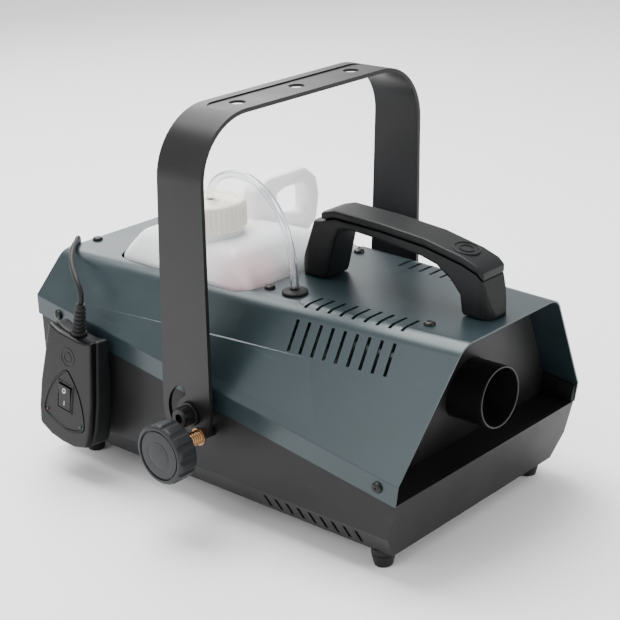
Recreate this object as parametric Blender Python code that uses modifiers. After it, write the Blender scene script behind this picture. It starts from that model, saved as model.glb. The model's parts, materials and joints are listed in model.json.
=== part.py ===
"""Fog machine: a black base tray under a folded steel cover, a carrying handle, a hanging yoke with
locking knobs, a drop-in fluid tank, the heater and pump inside, and a wired remote.

Metres, +Z up. The nozzle faces -Y. The origin is on the floor under the middle of the housing.
Stations are distances behind the front end of the fold line, levels are heights over the base."""

import math

import bmesh
import bpy
from mathutils import Matrix, Vector

# Housing
BODY_LENGTH = 0.356
FRONT_LEAN = 0.172
REAR_LEAN = 0.10
BODY_HALF_WIDTH = 0.1065
FOLD_FRONT_LEVEL = 0.0613
FOLD_REAR_LEVEL = 0.1162
FLANGE_DEPTH = 0.0155
TOP_LEVEL = 0.1466
TOP_FRONT_HALF = 0.0541
TOP_REAR_HALF = 0.0791
TOP_BEND_RADIUS = 0.016
FOLD_RADIUS = 0.0036
SHEET = 0.0012
GAP = 0.0003
BEND_STEPS = 5

# Base tray and the sheets inside
CHAMFER_LEVEL = 0.0186
BOTTOM_HALF_WIDTH = BODY_HALF_WIDTH - 0.0125
BASE_FRONT_LEAN = 0.27
LEDGE_LEVEL = 0.046
PANEL_DEPTH = 0.0286
REAR_PANEL_INSET = 0.014
BASE_REAR_INSET = 0.002
INNER_HALF_WIDTH = BODY_HALF_WIDTH - 2 * SHEET - 5 * GAP

# Feet
FOOT_HEIGHT = 0.014
FOOT_RADIUS = 0.0085
FOOT_HALF_SPACING = BOTTOM_HALF_WIDTH - 0.008
FOOT_END_DISTANCE = 0.030

# Louvres in the cover and vents in the base
LOUVRE_COUNT = 9
LOUVRE_PITCH = 0.0101
LOUVRE_WIDTH = 0.0026
LOUVRE_FIRST_STATION = 0.0357
TOP_LOUVRE_LENGTH = 0.019
TOP_LOUVRE_MARGIN = 0.001
SIDE_LOUVRE_START = 0.0100
SIDE_LOUVRE_LENGTH = 0.0230
VENT_COUNT = 9
VENT_PITCH = 0.0105
VENT_WIDTH = 0.0028
VENT_FIRST_STATION = 0.040

# Tank and what feeds from it
TANK_REAR_MARGIN = 0.050
TANK_DEPTH = 0.137
TANK_LEFT = -0.064
TANK_RIGHT = 0.068
TANK_FLOOR_LEVEL = 0.086
SHOULDER_LEVEL = 0.148
SHOULDER_TOP_LEVEL = 0.171
TANK_WALL = 0.0022
TANK_ROUND = 0.009
OPENING_CLEARANCE = 0.003
NECK_X = -0.0325
NECK_RADIUS = 0.0232
NECK_TOP_LEVEL = 0.190
CAP_RADIUS = 0.0266
CAP_LEVEL = 0.1755
CAP_HEIGHT = 0.0210
CAP_WALL = 0.0026
FLUID_LEVEL = 0.128
LOOP_LEFT = 0.010
LOOP_RIGHT = 0.080
LOOP_TOP_LEVEL = 0.200
LOOP_THICKNESS = 0.017
TUBE_RADIUS = 0.0030
GROMMET_X = -0.0465
GROMMET_STATION = 0.139
GROMMET_RADIUS = 0.0095
ARCH_HEIGHT = 0.044

# Nozzle, heater and pump
NOZZLE_LEVEL = 0.0883
NOZZLE_RADIUS = 0.0223
NOZZLE_WALL = 0.0014
NOZZLE_FRONT_STATION = -0.005
HEATER_HALF_WIDTH = 0.030
HEATER_HALF_HEIGHT = 0.026
HEATER_FRONT_STATION = 0.040
HEATER_LENGTH = 0.072
ELEMENT_RADIUS = 0.006
PUMP_HALF = 0.015
PUMP_TOP_LEVEL = 0.074
PUMP_BOTTOM_LEVEL = 0.012
PLUNGER_RADIUS = 0.0045
PLUNGER_LENGTH = 0.018
PLUNGER_CLEARANCE = 0.0001
PLUNGER_FOOT = 0.020
SPRING_LENGTH = 0.018
FEED_RADIUS = 0.0025

# Carrying handle
HANDLE_WIDTH = 0.0268
HANDLE_ROUND = 0.003
HANDLE_END_ROUND = 0.0128
HANDLE_CAP_THICKNESS = 0.006
HANDLE_FRONT_STATION = -0.0055

# Yoke and its fixings
PIVOT_STATION = 0.179
PIVOT_LEVEL = 0.068
YOKE_HALF_WIDTH = BODY_HALF_WIDTH + 0.0113
YOKE_TOP_LEVEL = 0.2833
YOKE_CORNER_RADIUS = 0.045
YOKE_CORNER_STEPS = 14
YOKE_THICKNESS = 0.003
ARM_HALF_WIDTH = 0.0238
YOKE_TOP_HALF_WIDTH = 0.0205
ARM_OFFSET = 0.0035
YOKE_TOP_SHIFT = -0.0095
YOKE_HOLE_RADIUS = 0.006
YOKE_HOLE_SPACING = 0.060
PIVOT_SHAFT_RADIUS = 0.0040
PIVOT_CLEARANCE = 0.0001
SLOT_RADIUS = 0.0173
SLOT_HALF_WIDTH = 0.0045
SLOT_START_DEG = -115.0
SLOT_END_DEG = 64.0
STUD_RADIUS = 0.0040
KNOB_RADIUS = 0.0223
KNOB_THICKNESS = 0.017
KNOB_FACE_X = YOKE_HALF_WIDTH + 0.0392
KNOB_FLUTES = 14

# Remote
REMOTE_HEIGHT = 0.092
REMOTE_TOP_HALF = 0.0240
REMOTE_MIDDLE_HALF = 0.0292
REMOTE_BOTTOM_HALF = 0.0272
REMOTE_THICKNESS = 0.0245
REMOTE_TAPER = 0.0055
REMOTE_DIP = 0.0035
REMOTE_X = -BODY_HALF_WIDTH - 0.0255
REMOTE_REAR_MARGIN = 0.0570
REMOTE_LEVEL = 0.0610
REMOTE_TILT_DEG = 8.0
REMOTE_LEAN_DEG = 4.0
ROCKER_WIDTH = 0.0135
ROCKER_HEIGHT = 0.0195
CORD_RADIUS = 0.0021
COIL_MIDDLE_RADIUS = 0.0240
COIL_HALF_SECTION = 0.0066

FRONT_Y = -(BODY_LENGTH - FRONT_LEAN * (TOP_LEVEL - FOLD_FRONT_LEVEL)) / 2
SIDES = (("left", -1), ("right", 1))


def station(distance):
    """World Y of a distance behind the front end of the fold line."""
    return FRONT_Y + distance


def level(height):
    """World Z of a height over the base's underside."""
    return FOOT_HEIGHT + height


def rear(distance):
    """World Y of a distance in front of the cover's rear edge."""
    return station(BODY_LENGTH - distance)


def at(x, distance, height):
    return Vector((x, station(distance), level(height)))


# ---------------------------------------------------------------- scene, materials and shape helpers

for old in list(bpy.data.objects):
    bpy.data.objects.remove(old, do_unlink=True)

PARTS = bpy.data.collections.new("fog_machine")
CUTTERS = bpy.data.collections.new("cutters")
bpy.context.scene.collection.children.link(PARTS)
bpy.context.scene.collection.children.link(CUTTERS)
CUTTERS.hide_render = True


def material(name, colour, roughness, metallic=0.0, alpha=1.0):
    made = bpy.data.materials.new(name)
    made.use_nodes = True
    shader = made.node_tree.nodes["Principled BSDF"]
    shader.inputs["Base Color"].default_value = (*colour, 1.0)
    shader.inputs["Roughness"].default_value = roughness
    shader.inputs["Metallic"].default_value = metallic
    shader.inputs["Alpha"].default_value = alpha
    return made


COVER_PAINT = material("cover_paint", (0.075, 0.115, 0.128), 0.38, 0.35)
BASE_PAINT = material("base_paint", (0.032, 0.032, 0.034), 0.5, 0.2)
YOKE_PAINT = material("yoke_paint", (0.022, 0.022, 0.024), 0.42, 0.2)
BLACK_PLASTIC = material("black_plastic", (0.018, 0.019, 0.021), 0.45)
GLOSS_BLACK = material("gloss_black", (0.008, 0.008, 0.009), 0.18)
RUBBER = material("rubber", (0.012, 0.012, 0.012), 0.8)
BLACK_STEEL = material("black_steel", (0.02, 0.02, 0.021), 0.35, 0.8)
BRASS = material("brass", (0.62, 0.38, 0.19), 0.3, 1.0)
ALUMINIUM = material("aluminium", (0.6, 0.6, 0.61), 0.42, 1.0)
STEEL = material("steel", (0.45, 0.45, 0.46), 0.35, 1.0)
NATURAL_PLASTIC = material("natural_plastic", (0.86, 0.86, 0.87), 0.35, 0.0, 0.75)
CAP_PLASTIC = material("cap_plastic", (0.86, 0.84, 0.76), 0.45)
FLUID_PINK = material("fluid_pink", (0.95, 0.55, 0.58), 0.1, 0.0, 0.6)
CLEAR_TUBE = material("clear_tube", (0.82, 0.85, 0.88), 0.12, 0.0, 0.45)
BOARD_GREEN = material("board_green", (0.03, 0.22, 0.08), 0.5)


def add_object(name, bm, mat, collection=PARTS):
    bmesh.ops.recalc_face_normals(bm, faces=bm.faces)
    mesh = bpy.data.meshes.new(name)
    bm.to_mesh(mesh)
    bm.free()
    mesh.materials.append(mat)
    made = bpy.data.objects.new(name, mesh)
    collection.objects.link(made)
    if collection is CUTTERS:
        made.hide_render = True
        made.display_type = "WIRE"
    return made


def box(name, low, high, mat, collection=PARTS):
    bm = bmesh.new()
    bmesh.ops.create_cube(bm, size=1.0)
    low, high = Vector(low), Vector(high)
    bmesh.ops.scale(bm, vec=high - low, verts=bm.verts)
    bmesh.ops.translate(bm, vec=(low + high) / 2, verts=bm.verts)
    return add_object(name, bm, mat, collection)


def cylinder(name, start, end, radius, mat, collection=PARTS, segments=32, end_radius=None):
    start, end = Vector(start), Vector(end)
    bm = bmesh.new()
    far = radius if end_radius is None else end_radius
    bmesh.ops.create_cone(bm, cap_ends=True, segments=segments, radius1=radius, radius2=far,
                          depth=(end - start).length)
    turn = (end - start).to_track_quat("Z", "Y").to_matrix()
    bmesh.ops.rotate(bm, cent=(0, 0, 0), matrix=turn, verts=bm.verts)
    bmesh.ops.translate(bm, vec=(start + end) / 2, verts=bm.verts)
    return add_object(name, bm, mat, collection)


def prism(name, outline, direction, mat, collection=PARTS):
    """A flat outline of world points, extruded along a vector."""
    bm = bmesh.new()
    face = bm.faces.new([bm.verts.new(point) for point in outline])
    grown = bmesh.ops.extrude_face_region(bm, geom=[face])
    moved = [item for item in grown["geom"] if isinstance(item, bmesh.types.BMVert)]
    bmesh.ops.translate(bm, vec=Vector(direction), verts=moved)
    return add_object(name, bm, mat, collection)


def turned(name, profile, origin, axis, mat, collection=PARTS, steps=32, closed=False):
    """A profile of (radius, height) pairs, top to bottom on its outer side, turned about an axis."""
    mesh = bpy.data.meshes.new(name)
    count = len(profile)
    edges = [(i, i + 1) for i in range(count - 1)] + ([(count - 1, 0)] if closed else [])
    mesh.from_pydata([(radius, 0, height) for radius, height in profile], edges, [])
    mesh.materials.append(mat)
    made = bpy.data.objects.new(name, mesh)
    collection.objects.link(made)
    made.location = origin
    made.rotation_mode = "QUATERNION"
    made.rotation_quaternion = Vector(axis).to_track_quat("Z", "Y")
    screw = made.modifiers.new("Turn", "SCREW")
    screw.axis = "Z"
    screw.steps = screw.render_steps = steps
    screw.use_merge_vertices = True
    screw.merge_threshold = 0.00001
    screw.use_smooth_shade = True
    if collection is CUTTERS:
        made.hide_render = True
        made.display_type = "WIRE"
    return made


def put_origin(made, point):
    """Moves the object's origin to a point in its own frame, leaving the shape where it is."""
    made.data.transform(Matrix.Translation(-Vector(point)))
    made.location = point
    return made


def cut(target, cutter, operation="DIFFERENCE"):
    boolean = target.modifiers.new("Boolean", "BOOLEAN")
    boolean.operation = operation
    boolean.solver = "EXACT"
    boolean.object = cutter
    return target


def join(target, addition):
    return cut(target, addition, "UNION")


def bevel(target, width, segments=2, angle=math.radians(35)):
    rounding = target.modifiers.new("Round", "BEVEL")
    rounding.width = width
    rounding.segments = segments
    rounding.limit_method = "ANGLE"
    rounding.angle_limit = angle
    return target


def round_tube(name, points, radius, mat, resolution=2):
    """A cord, pipe or hose along points, as a curve with closed ends."""
    curve = bpy.data.curves.new(name, "CURVE")
    curve.dimensions = "3D"
    curve.bevel_depth = radius
    curve.bevel_resolution = resolution
    curve.use_fill_caps = True
    spline = curve.splines.new("POLY")
    spline.points.add(len(points) - 1)
    for slot, point in zip(spline.points, points):
        slot.co = (*point, 1.0)
    curve.materials.append(mat)
    made = bpy.data.objects.new(name, curve)
    PARTS.objects.link(made)
    return made


def smooth_path(points, spacing):
    """Evenly spaced points on a Catmull-Rom curve through the given points."""
    points = [Vector(point) for point in points]
    ends = [2 * points[0] - points[1]] + points + [2 * points[-1] - points[-2]]
    dense = []
    for a, b, c, d in zip(ends, ends[1:], ends[2:], ends[3:]):
        for k in range(24):
            t = k / 24
            dense.append(0.5 * (2 * b + (c - a) * t + (2 * a - 5 * b + 4 * c - d) * t * t
                                + (3 * b - a - 3 * c + d) * t ** 3))
    dense.append(points[-1])
    lengths = [0.0]
    for a, b in zip(dense, dense[1:]):
        lengths.append(lengths[-1] + (b - a).length)
    count = max(2, round(lengths[-1] / spacing))
    even, k = [], 0
    for i in range(count + 1):
        wanted = lengths[-1] * i / count
        while k < len(dense) - 2 and lengths[k + 1] < wanted:
            k += 1
        share = (wanted - lengths[k]) / max(lengths[k + 1] - lengths[k], 1e-9)
        even.append(dense[k].lerp(dense[k + 1], min(1.0, share)))
    return even


def filleted(points, radii, steps):
    """A 2D polyline whose corners are replaced by arcs of the given radii."""
    made = [Vector(points[0])]
    for before, corner, after, radius in zip(points, points[1:], points[2:], radii):
        corner = Vector(corner)
        into, out = (Vector(before) - corner).normalized(), (Vector(after) - corner).normalized()
        half = into.angle(out) / 2
        reach = radius / math.tan(half)
        centre = corner + (into + out).normalized() * radius / math.sin(half)
        first, last = corner + into * reach - centre, corner + out * reach - centre
        for k in range(steps + 1):
            made.append(centre + first.lerp(last, k / steps).normalized() * radius)
    made.append(Vector(points[-1]))
    return made


def inset(points, distance):
    """A polyline moved sideways towards its right-hand side."""
    moved = []
    for i, point in enumerate(points):
        before = points[max(i - 1, 0)]
        after = points[min(i + 1, len(points) - 1)]
        along = (after - before).normalized()
        moved.append(point + Vector((along.y, -along.x)) * distance)
    return moved


# ---------------------------------------------------------------- cover

def cover_section(share):
    """The cover's outer (x, level) line at the front (0) to the rear (1), left flange to right flange."""
    fold = FOLD_FRONT_LEVEL + (FOLD_REAR_LEVEL - FOLD_FRONT_LEVEL) * share
    top = TOP_FRONT_HALF + (TOP_REAR_HALF - TOP_FRONT_HALF) * share
    corners = [(-BODY_HALF_WIDTH, fold - FLANGE_DEPTH), (-BODY_HALF_WIDTH, fold), (-top, TOP_LEVEL),
               (top, TOP_LEVEL), (BODY_HALF_WIDTH, fold), (BODY_HALF_WIDTH, fold - FLANGE_DEPTH)]
    return filleted(corners, [FOLD_RADIUS, TOP_BEND_RADIUS, TOP_BEND_RADIUS, FOLD_RADIUS], BEND_STEPS)


def front_edge(height):
    return -(height - FOLD_FRONT_LEVEL) * FRONT_LEAN


def rear_edge(height):
    return BODY_LENGTH - max(0.0, height - FOLD_REAR_LEVEL) * REAR_LEAN


def cover_line(edge_of_height):
    """The cover's outer (x, level) line where a surface station = edge_of_height(level) meets it."""
    found = []
    for front, back in zip(cover_section(0), cover_section(1)):
        share = 0.5
        for _ in range(8):
            height = front.y + (back.y - front.y) * share
            start, end = front_edge(front.y), rear_edge(back.y)
            share = (edge_of_height(height) - start) / (end - start)
        found.append(front.lerp(back, share))
    return found


def top_half(distance):
    """Half the width of the flat top between its bend lines."""
    share = distance / BODY_LENGTH
    return TOP_FRONT_HALF + (TOP_REAR_HALF - TOP_FRONT_HALF) * share


def fold_level(distance):
    return FOLD_FRONT_LEVEL + (FOLD_REAR_LEVEL - FOLD_FRONT_LEVEL) * distance / BODY_LENGTH


def make_cover():
    bm = bmesh.new()
    rows = []
    for line, edge in ((cover_section(0), front_edge), (cover_section(1), rear_edge)):
        rows.append([bm.verts.new(at(p.x, edge(p.y), p.y)) for p in line])
    for i in range(len(rows[0]) - 1):
        bm.faces.new((rows[0][i], rows[0][i + 1], rows[1][i + 1], rows[1][i]))
    cover = add_object("cover", bm, COVER_PAINT)
    # The open sheet's normals are turned outwards, so that Solidify grows inwards.
    top_face = max(cover.data.polygons, key=lambda face: face.center.z)
    if top_face.normal.z < 0:
        cover.data.flip_normals()
    shell = cover.modifiers.new("Sheet", "SOLIDIFY")
    shell.thickness = SHEET
    shell.offset = -1
    shell.use_even_offset = True
    return cover


def tank_front():
    return BODY_LENGTH - TANK_REAR_MARGIN - TANK_DEPTH


def tank_middle():
    return tank_front() + TANK_DEPTH / 2


def cut_opening(cover):
    low = at(TANK_LEFT - OPENING_CLEARANCE, tank_front() - OPENING_CLEARANCE, SHOULDER_LEVEL - 0.03)
    high = at(TANK_RIGHT + OPENING_CLEARANCE, tank_front() + TANK_DEPTH + OPENING_CLEARANCE,
              TOP_LEVEL + 0.02)
    cutter = box("opening_cutter", low, high, COVER_PAINT, CUTTERS)
    corners = bmesh.new()
    corners.from_mesh(cutter.data)
    upright = [e for e in corners.edges if abs((e.verts[0].co - e.verts[1].co).z) > 0.01]
    bmesh.ops.bevel(corners, geom=upright, offset=0.016, segments=4, affect="EDGES", profile=0.5)
    corners.to_mesh(cutter.data)
    corners.free()
    cut(cover, cutter)


def slots(name, placements, size):
    """One cutter of equal boxes, each at a (centre, tilt about Y) placement."""
    bm = bmesh.new()
    for centre, tilt in placements:
        place = Matrix.Translation(centre) @ Matrix.Rotation(tilt, 4, "Y") @ Matrix.Diagonal((*size, 1))
        bmesh.ops.create_cube(bm, size=1.0, matrix=place)
    return add_object(name, bm, COVER_PAINT, CUTTERS)


def cut_louvres(cover):
    flat, steep = [], []
    for _, sign in SIDES:
        for k in range(LOUVRE_COUNT):
            along = LOUVRE_FIRST_STATION + k * LOUVRE_PITCH
            bend = top_half(along)
            middle = bend - TOP_LOUVRE_MARGIN - TOP_LOUVRE_LENGTH / 2
            flat.append((at(sign * middle, along, TOP_LEVEL), 0.0))
            run, drop = BODY_HALF_WIDTH - bend, TOP_LEVEL - fold_level(along)
            slope = math.hypot(run, drop)
            reach = (SIDE_LOUVRE_START + SIDE_LOUVRE_LENGTH / 2) / slope
            centre = at(sign * (bend + run * reach), along, TOP_LEVEL - drop * reach)
            steep.append((centre, sign * math.atan2(drop, run)))
    cut(cover, slots("top_louvres", flat, (TOP_LOUVRE_LENGTH, LOUVRE_WIDTH, 0.012)))
    cut(cover, slots("side_louvres", steep, (SIDE_LOUVRE_LENGTH, LOUVRE_WIDTH, 0.012)))


TOP_SCREWS = (("front", 0.0379, 0.026), ("middle", 0.0495, tank_front() - 0.0085),
              ("rear", 0.0482, BODY_LENGTH - 0.0082))
FLANGE_SCREWS = (("front", 0.017), ("rear", BODY_LENGTH - 0.0245))
SCREW_SHANK_RADIUS = 0.0018
SCREW_HEAD_RADIUS = 0.0041
SCREW_HEAD_HEIGHT = 0.0024


def screw(name, seat, outward, mat=BLACK_STEEL):
    """A pan-head screw with its head on the seat point and its shank behind it."""
    profile = [(0.0, SCREW_HEAD_HEIGHT), (SCREW_HEAD_RADIUS * 0.62, SCREW_HEAD_HEIGHT * 0.9),
               (SCREW_HEAD_RADIUS, SCREW_HEAD_HEIGHT * 0.4), (SCREW_HEAD_RADIUS, GAP),
               (SCREW_SHANK_RADIUS, GAP), (SCREW_SHANK_RADIUS, -0.005), (0.0, -0.006)]
    return turned(name, profile, seat, outward, mat, steps=16)


def hole(target, name, start, end, radius, segments=24):
    cut(target, cylinder(name, start, end, radius, STEEL, CUTTERS, segments))


def make_cover_screws(cover, base):
    reach = Vector((0, 0, 0.008))
    for end, x, along in TOP_SCREWS:
        for side, sign in SIDES:
            seat = at(sign * x, along, TOP_LEVEL)
            screw(f"top_screw_{end}_{side}", seat, (0, 0, 1))
            hole(cover, f"top_screw_hole_{end}_{side}", seat - reach, seat + reach,
                 SCREW_SHANK_RADIUS + GAP, 12)
    for end, along in FLANGE_SCREWS:
        for side, sign in SIDES:
            seat = at(sign * BODY_HALF_WIDTH, along, fold_level(along) - FLANGE_DEPTH / 2)
            screw(f"flange_screw_{end}_{side}", seat, (sign, 0, 0))
            out = Vector((sign * 0.010, 0, 0))
            for target, label in ((cover, "cover"), (base, "base")):
                hole(target, f"flange_hole_{end}_{side}_{label}", seat - out, seat + out,
                     SCREW_SHANK_RADIUS + GAP, 12)


# ---------------------------------------------------------------- base tray and inner sheets

def base_front(height):
    return front_edge(LEDGE_LEVEL) + GAP + max(0.0, LEDGE_LEVEL - height) * BASE_FRONT_LEAN


def make_base():
    """Bottom, chamfers, sides and front wall as one open sheet, thickened inwards."""
    side_x = BODY_HALF_WIDTH - SHEET - GAP
    end = BODY_LENGTH - BASE_REAR_INSET
    under_fold = 0.0025
    bm = bmesh.new()

    def vert(x, distance, height):
        return bm.verts.new(at(x, distance, height))

    low_front = [vert(s * BOTTOM_HALF_WIDTH, base_front(0), 0) for _, s in SIDES]
    bend_front = [vert(s * side_x, base_front(CHAMFER_LEVEL), CHAMFER_LEVEL) for _, s in SIDES]
    wall_top = [vert(s * side_x, base_front(LEDGE_LEVEL), LEDGE_LEVEL) for _, s in SIDES]
    side_start = front_edge(FOLD_FRONT_LEVEL) + 0.002
    side_top = [vert(s * side_x, side_start, fold_level(side_start) - under_fold) for _, s in SIDES]
    low_rear = [vert(s * BOTTOM_HALF_WIDTH, end, 0) for _, s in SIDES]
    bend_rear = [vert(s * side_x, end, CHAMFER_LEVEL) for _, s in SIDES]
    top_rear = [vert(s * side_x, end, fold_level(end) - under_fold) for _, s in SIDES]
    bm.faces.new((low_front[0], low_front[1], low_rear[1], low_rear[0]))
    bm.faces.new((low_front[0], bend_front[0], wall_top[0], wall_top[1], bend_front[1], low_front[1]))
    for i in range(2):
        bm.faces.new((low_front[i], bend_front[i], bend_rear[i], low_rear[i]))
        bm.faces.new((bend_front[i], wall_top[i], side_top[i], top_rear[i], bend_rear[i]))
    base = add_object("base_tray", bm, BASE_PAINT)
    bottom = min(base.data.polygons, key=lambda face: face.center.z)
    if bottom.normal.z > 0:
        base.data.flip_normals()
    sheet = base.modifiers.new("Sheet", "SOLIDIFY")
    sheet.thickness = SHEET
    sheet.offset = -1
    sheet.use_even_offset = True
    vents = []
    for _, sign in SIDES:
        for k in range(VENT_COUNT):
            x = sign * (BOTTOM_HALF_WIDTH + side_x) / 2
            vents.append((at(x, VENT_FIRST_STATION + k * VENT_PITCH, CHAMFER_LEVEL / 2),
                          sign * math.radians(-60)))
    cut(base, slots("vent_slots", vents, (0.013, VENT_WIDTH, 0.016)))
    return base


def sheet_across(name, station_of_level, low_level, mat, margin=4 * GAP):
    """A sheet that fills the housing's section, following station = station_of_level(level)."""
    wall = INNER_HALF_WIDTH
    line = inset(cover_line(station_of_level), SHEET + margin)
    upper = [p for p in line if p.y > low_level + 0.001]
    outline = [Vector((max(-wall, min(wall, p.x)), p.y)) for p in upper]
    corners = [(-wall, CHAMFER_LEVEL), (wall, CHAMFER_LEVEL)] if low_level < CHAMFER_LEVEL else []
    foot = wall if low_level >= CHAMFER_LEVEL else BOTTOM_HALF_WIDTH - SHEET
    outline = [Vector((-foot, low_level))] + [Vector(c) for c in corners[:1]] + outline
    outline += [Vector(c) for c in corners[1:]] + [Vector((foot, low_level))]
    points = [at(p.x, station_of_level(p.y), p.y) for p in outline]
    return prism(name, points, (0, SHEET, 0), mat)


def panel_station(height):
    return front_edge(height) + PANEL_DEPTH


def make_front_panel():
    """The recessed front: a leaning panel bent from the ledge behind the front wall."""
    panel = sheet_across("front_panel", panel_station, LEDGE_LEVEL - SHEET, BASE_PAINT)
    wall = INNER_HALF_WIDTH
    ledge = box("front_ledge", at(-wall, base_front(LEDGE_LEVEL) + SHEET + 4 * GAP, LEDGE_LEVEL - SHEET),
                at(wall, panel_station(LEDGE_LEVEL) + SHEET / 2, LEDGE_LEVEL), BASE_PAINT, CUTTERS)
    join(panel, ledge)
    hole(panel, "nozzle_hole", at(0, NOZZLE_FRONT_STATION, NOZZLE_LEVEL),
         at(0, NOZZLE_FRONT_STATION + 0.06, NOZZLE_LEVEL), NOZZLE_RADIUS + GAP, 48)


INLET = {"x": 0.058, "level": 0.045, "half_width": 0.0135, "half_height": 0.0100}
FUSE = {"x": 0.014, "level": 0.045, "radius": 0.0065}
SOCKET = {"x": -0.024, "level": 0.045, "radius": 0.0080}


def make_rear():
    plate_station = BODY_LENGTH - REAR_PANEL_INSET
    panel = sheet_across("rear_panel", lambda height: plate_station, SHEET + GAP, BASE_PAINT)
    front, back = plate_station - 0.03, plate_station + 0.03
    half_width, half_height = INLET["half_width"] + GAP, INLET["half_height"] + GAP
    cut(panel, box("inlet_hole",
                   at(INLET["x"] - half_width, front, INLET["level"] - half_height),
                   at(INLET["x"] + half_width, back, INLET["level"] + half_height),
                   STEEL, CUTTERS))
    for name, place in (("fuse_hole", FUSE), ("socket_hole", SOCKET)):
        hole(panel, name, at(place["x"], front, place["level"]), at(place["x"], back, place["level"]),
             place["radius"] + GAP)
    outside = plate_station + SHEET + GAP
    w, h = INLET["half_width"], INLET["half_height"]
    inlet = box("mains_inlet", at(INLET["x"] - w, plate_station - 0.018, INLET["level"] - h),
                at(INLET["x"] + w, outside + 0.001, INLET["level"] + h), BLACK_PLASTIC)
    join(inlet, box("inlet_flange", at(INLET["x"] - w - 0.011, outside, INLET["level"] - h - 0.003),
                    at(INLET["x"] + w + 0.011, outside + 0.003, INLET["level"] + h + 0.003),
                    BLACK_PLASTIC, CUTTERS))
    cut(inlet, box("inlet_mouth", at(INLET["x"] - w + 0.0025, outside - 0.014, INLET["level"] - h + 0.0025),
                   at(INLET["x"] + w - 0.0025, outside + 0.01, INLET["level"] + h - 0.0025),
                   BLACK_PLASTIC, CUTTERS))
    for k, (x, rise) in enumerate(((-0.006, -0.001), (0.006, -0.001), (0.0, 0.003))):
        pin_x, pin_level = INLET["x"] + x, INLET["level"] + rise
        join(inlet, box(f"inlet_pin_{k}", at(pin_x - 0.001, outside - 0.015, pin_level - 0.002),
                        at(pin_x + 0.001, outside - 0.003, pin_level + 0.002), STEEL, CUTTERS))
    r = FUSE["radius"]
    turned("fuse_holder", [(0, 0.011), (r * 0.9, 0.011), (r * 1.25, 0.009), (r * 1.25, 0.0), (r, 0.0),
                           (r, -0.020), (0, -0.020)],
           at(FUSE["x"], outside, FUSE["level"]), (0, 1, 0), BLACK_PLASTIC, steps=24)
    r = SOCKET["radius"]
    turned("remote_socket", [(0, -0.009), (r * 0.62, -0.009), (r * 0.62, 0.003), (r * 1.35, 0.003),
                             (r * 1.35, 0.0), (r, 0.0), (r, -0.012), (0, -0.012)],
           at(SOCKET["x"], outside, SOCKET["level"]), (0, 1, 0), STEEL, steps=24)


def make_inner_sheets():
    divider = sheet_across("divider_wall", lambda height: tank_front() - 0.006, SHEET + GAP, STEEL, 7 * GAP)
    wall = INNER_HALF_WIDTH
    shelf_top = TANK_FLOOR_LEVEL - GAP
    start = tank_front() - 0.004
    end = BODY_LENGTH - TANK_REAR_MARGIN + 0.004
    shelf = box("tank_shelf", at(-wall + 0.002, start, shelf_top - SHEET), at(wall - 0.002, end, shelf_top),
                STEEL)
    join(shelf, box("shelf_rear_wall", at(-wall + 0.002, end - SHEET, shelf_top - 0.0006),
                    at(wall - 0.002, end, shelf_top + 0.020), STEEL, CUTTERS))
    join(shelf, box("shelf_leg", at(-wall + 0.012, end - SHEET, SHEET + GAP),
                    at(wall - 0.012, end, shelf_top - 0.0006), STEEL, CUTTERS))


def make_feet():
    for end, distance in (("front", FOOT_END_DISTANCE), ("rear", BODY_LENGTH - FOOT_END_DISTANCE)):
        for side, sign in SIDES:
            r = FOOT_RADIUS
            turned(f"foot_{end}_{side}", [(0, -GAP), (r, -GAP), (r, -0.004), (r * 0.86, -FOOT_HEIGHT + 0.001),
                                          (r * 0.76, -FOOT_HEIGHT), (0, -FOOT_HEIGHT)],
                   at(sign * FOOT_HALF_SPACING, distance, 0), (0, 0, 1), RUBBER, steps=20)


# ---------------------------------------------------------------- nozzle, heater, pump and electronics

def make_nozzle():
    r = NOZZLE_RADIUS
    length = panel_station(NOZZLE_LEVEL) - NOZZLE_FRONT_STATION + SHEET + 0.004
    turned("nozzle_tube", [(r, 0.0), (r, -length), (r - NOZZLE_WALL, -length), (r - NOZZLE_WALL, 0.0)],
           at(0, NOZZLE_FRONT_STATION, NOZZLE_LEVEL), (0, -1, 0), BLACK_STEEL, steps=48, closed=True)
    tip = HEATER_FRONT_STATION - GAP
    jet = turned("vapour_jet", [(0.0009, 0.014), (0.0022, 0.014), (0.0035, 0.009), (0.0035, 0.004),
                                (0.0055, 0.004), (0.0055, 0.0), (0.0009, 0.0)],
                 at(0, tip, NOZZLE_LEVEL), (0, -1, 0), BRASS, steps=16, closed=True)


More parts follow.
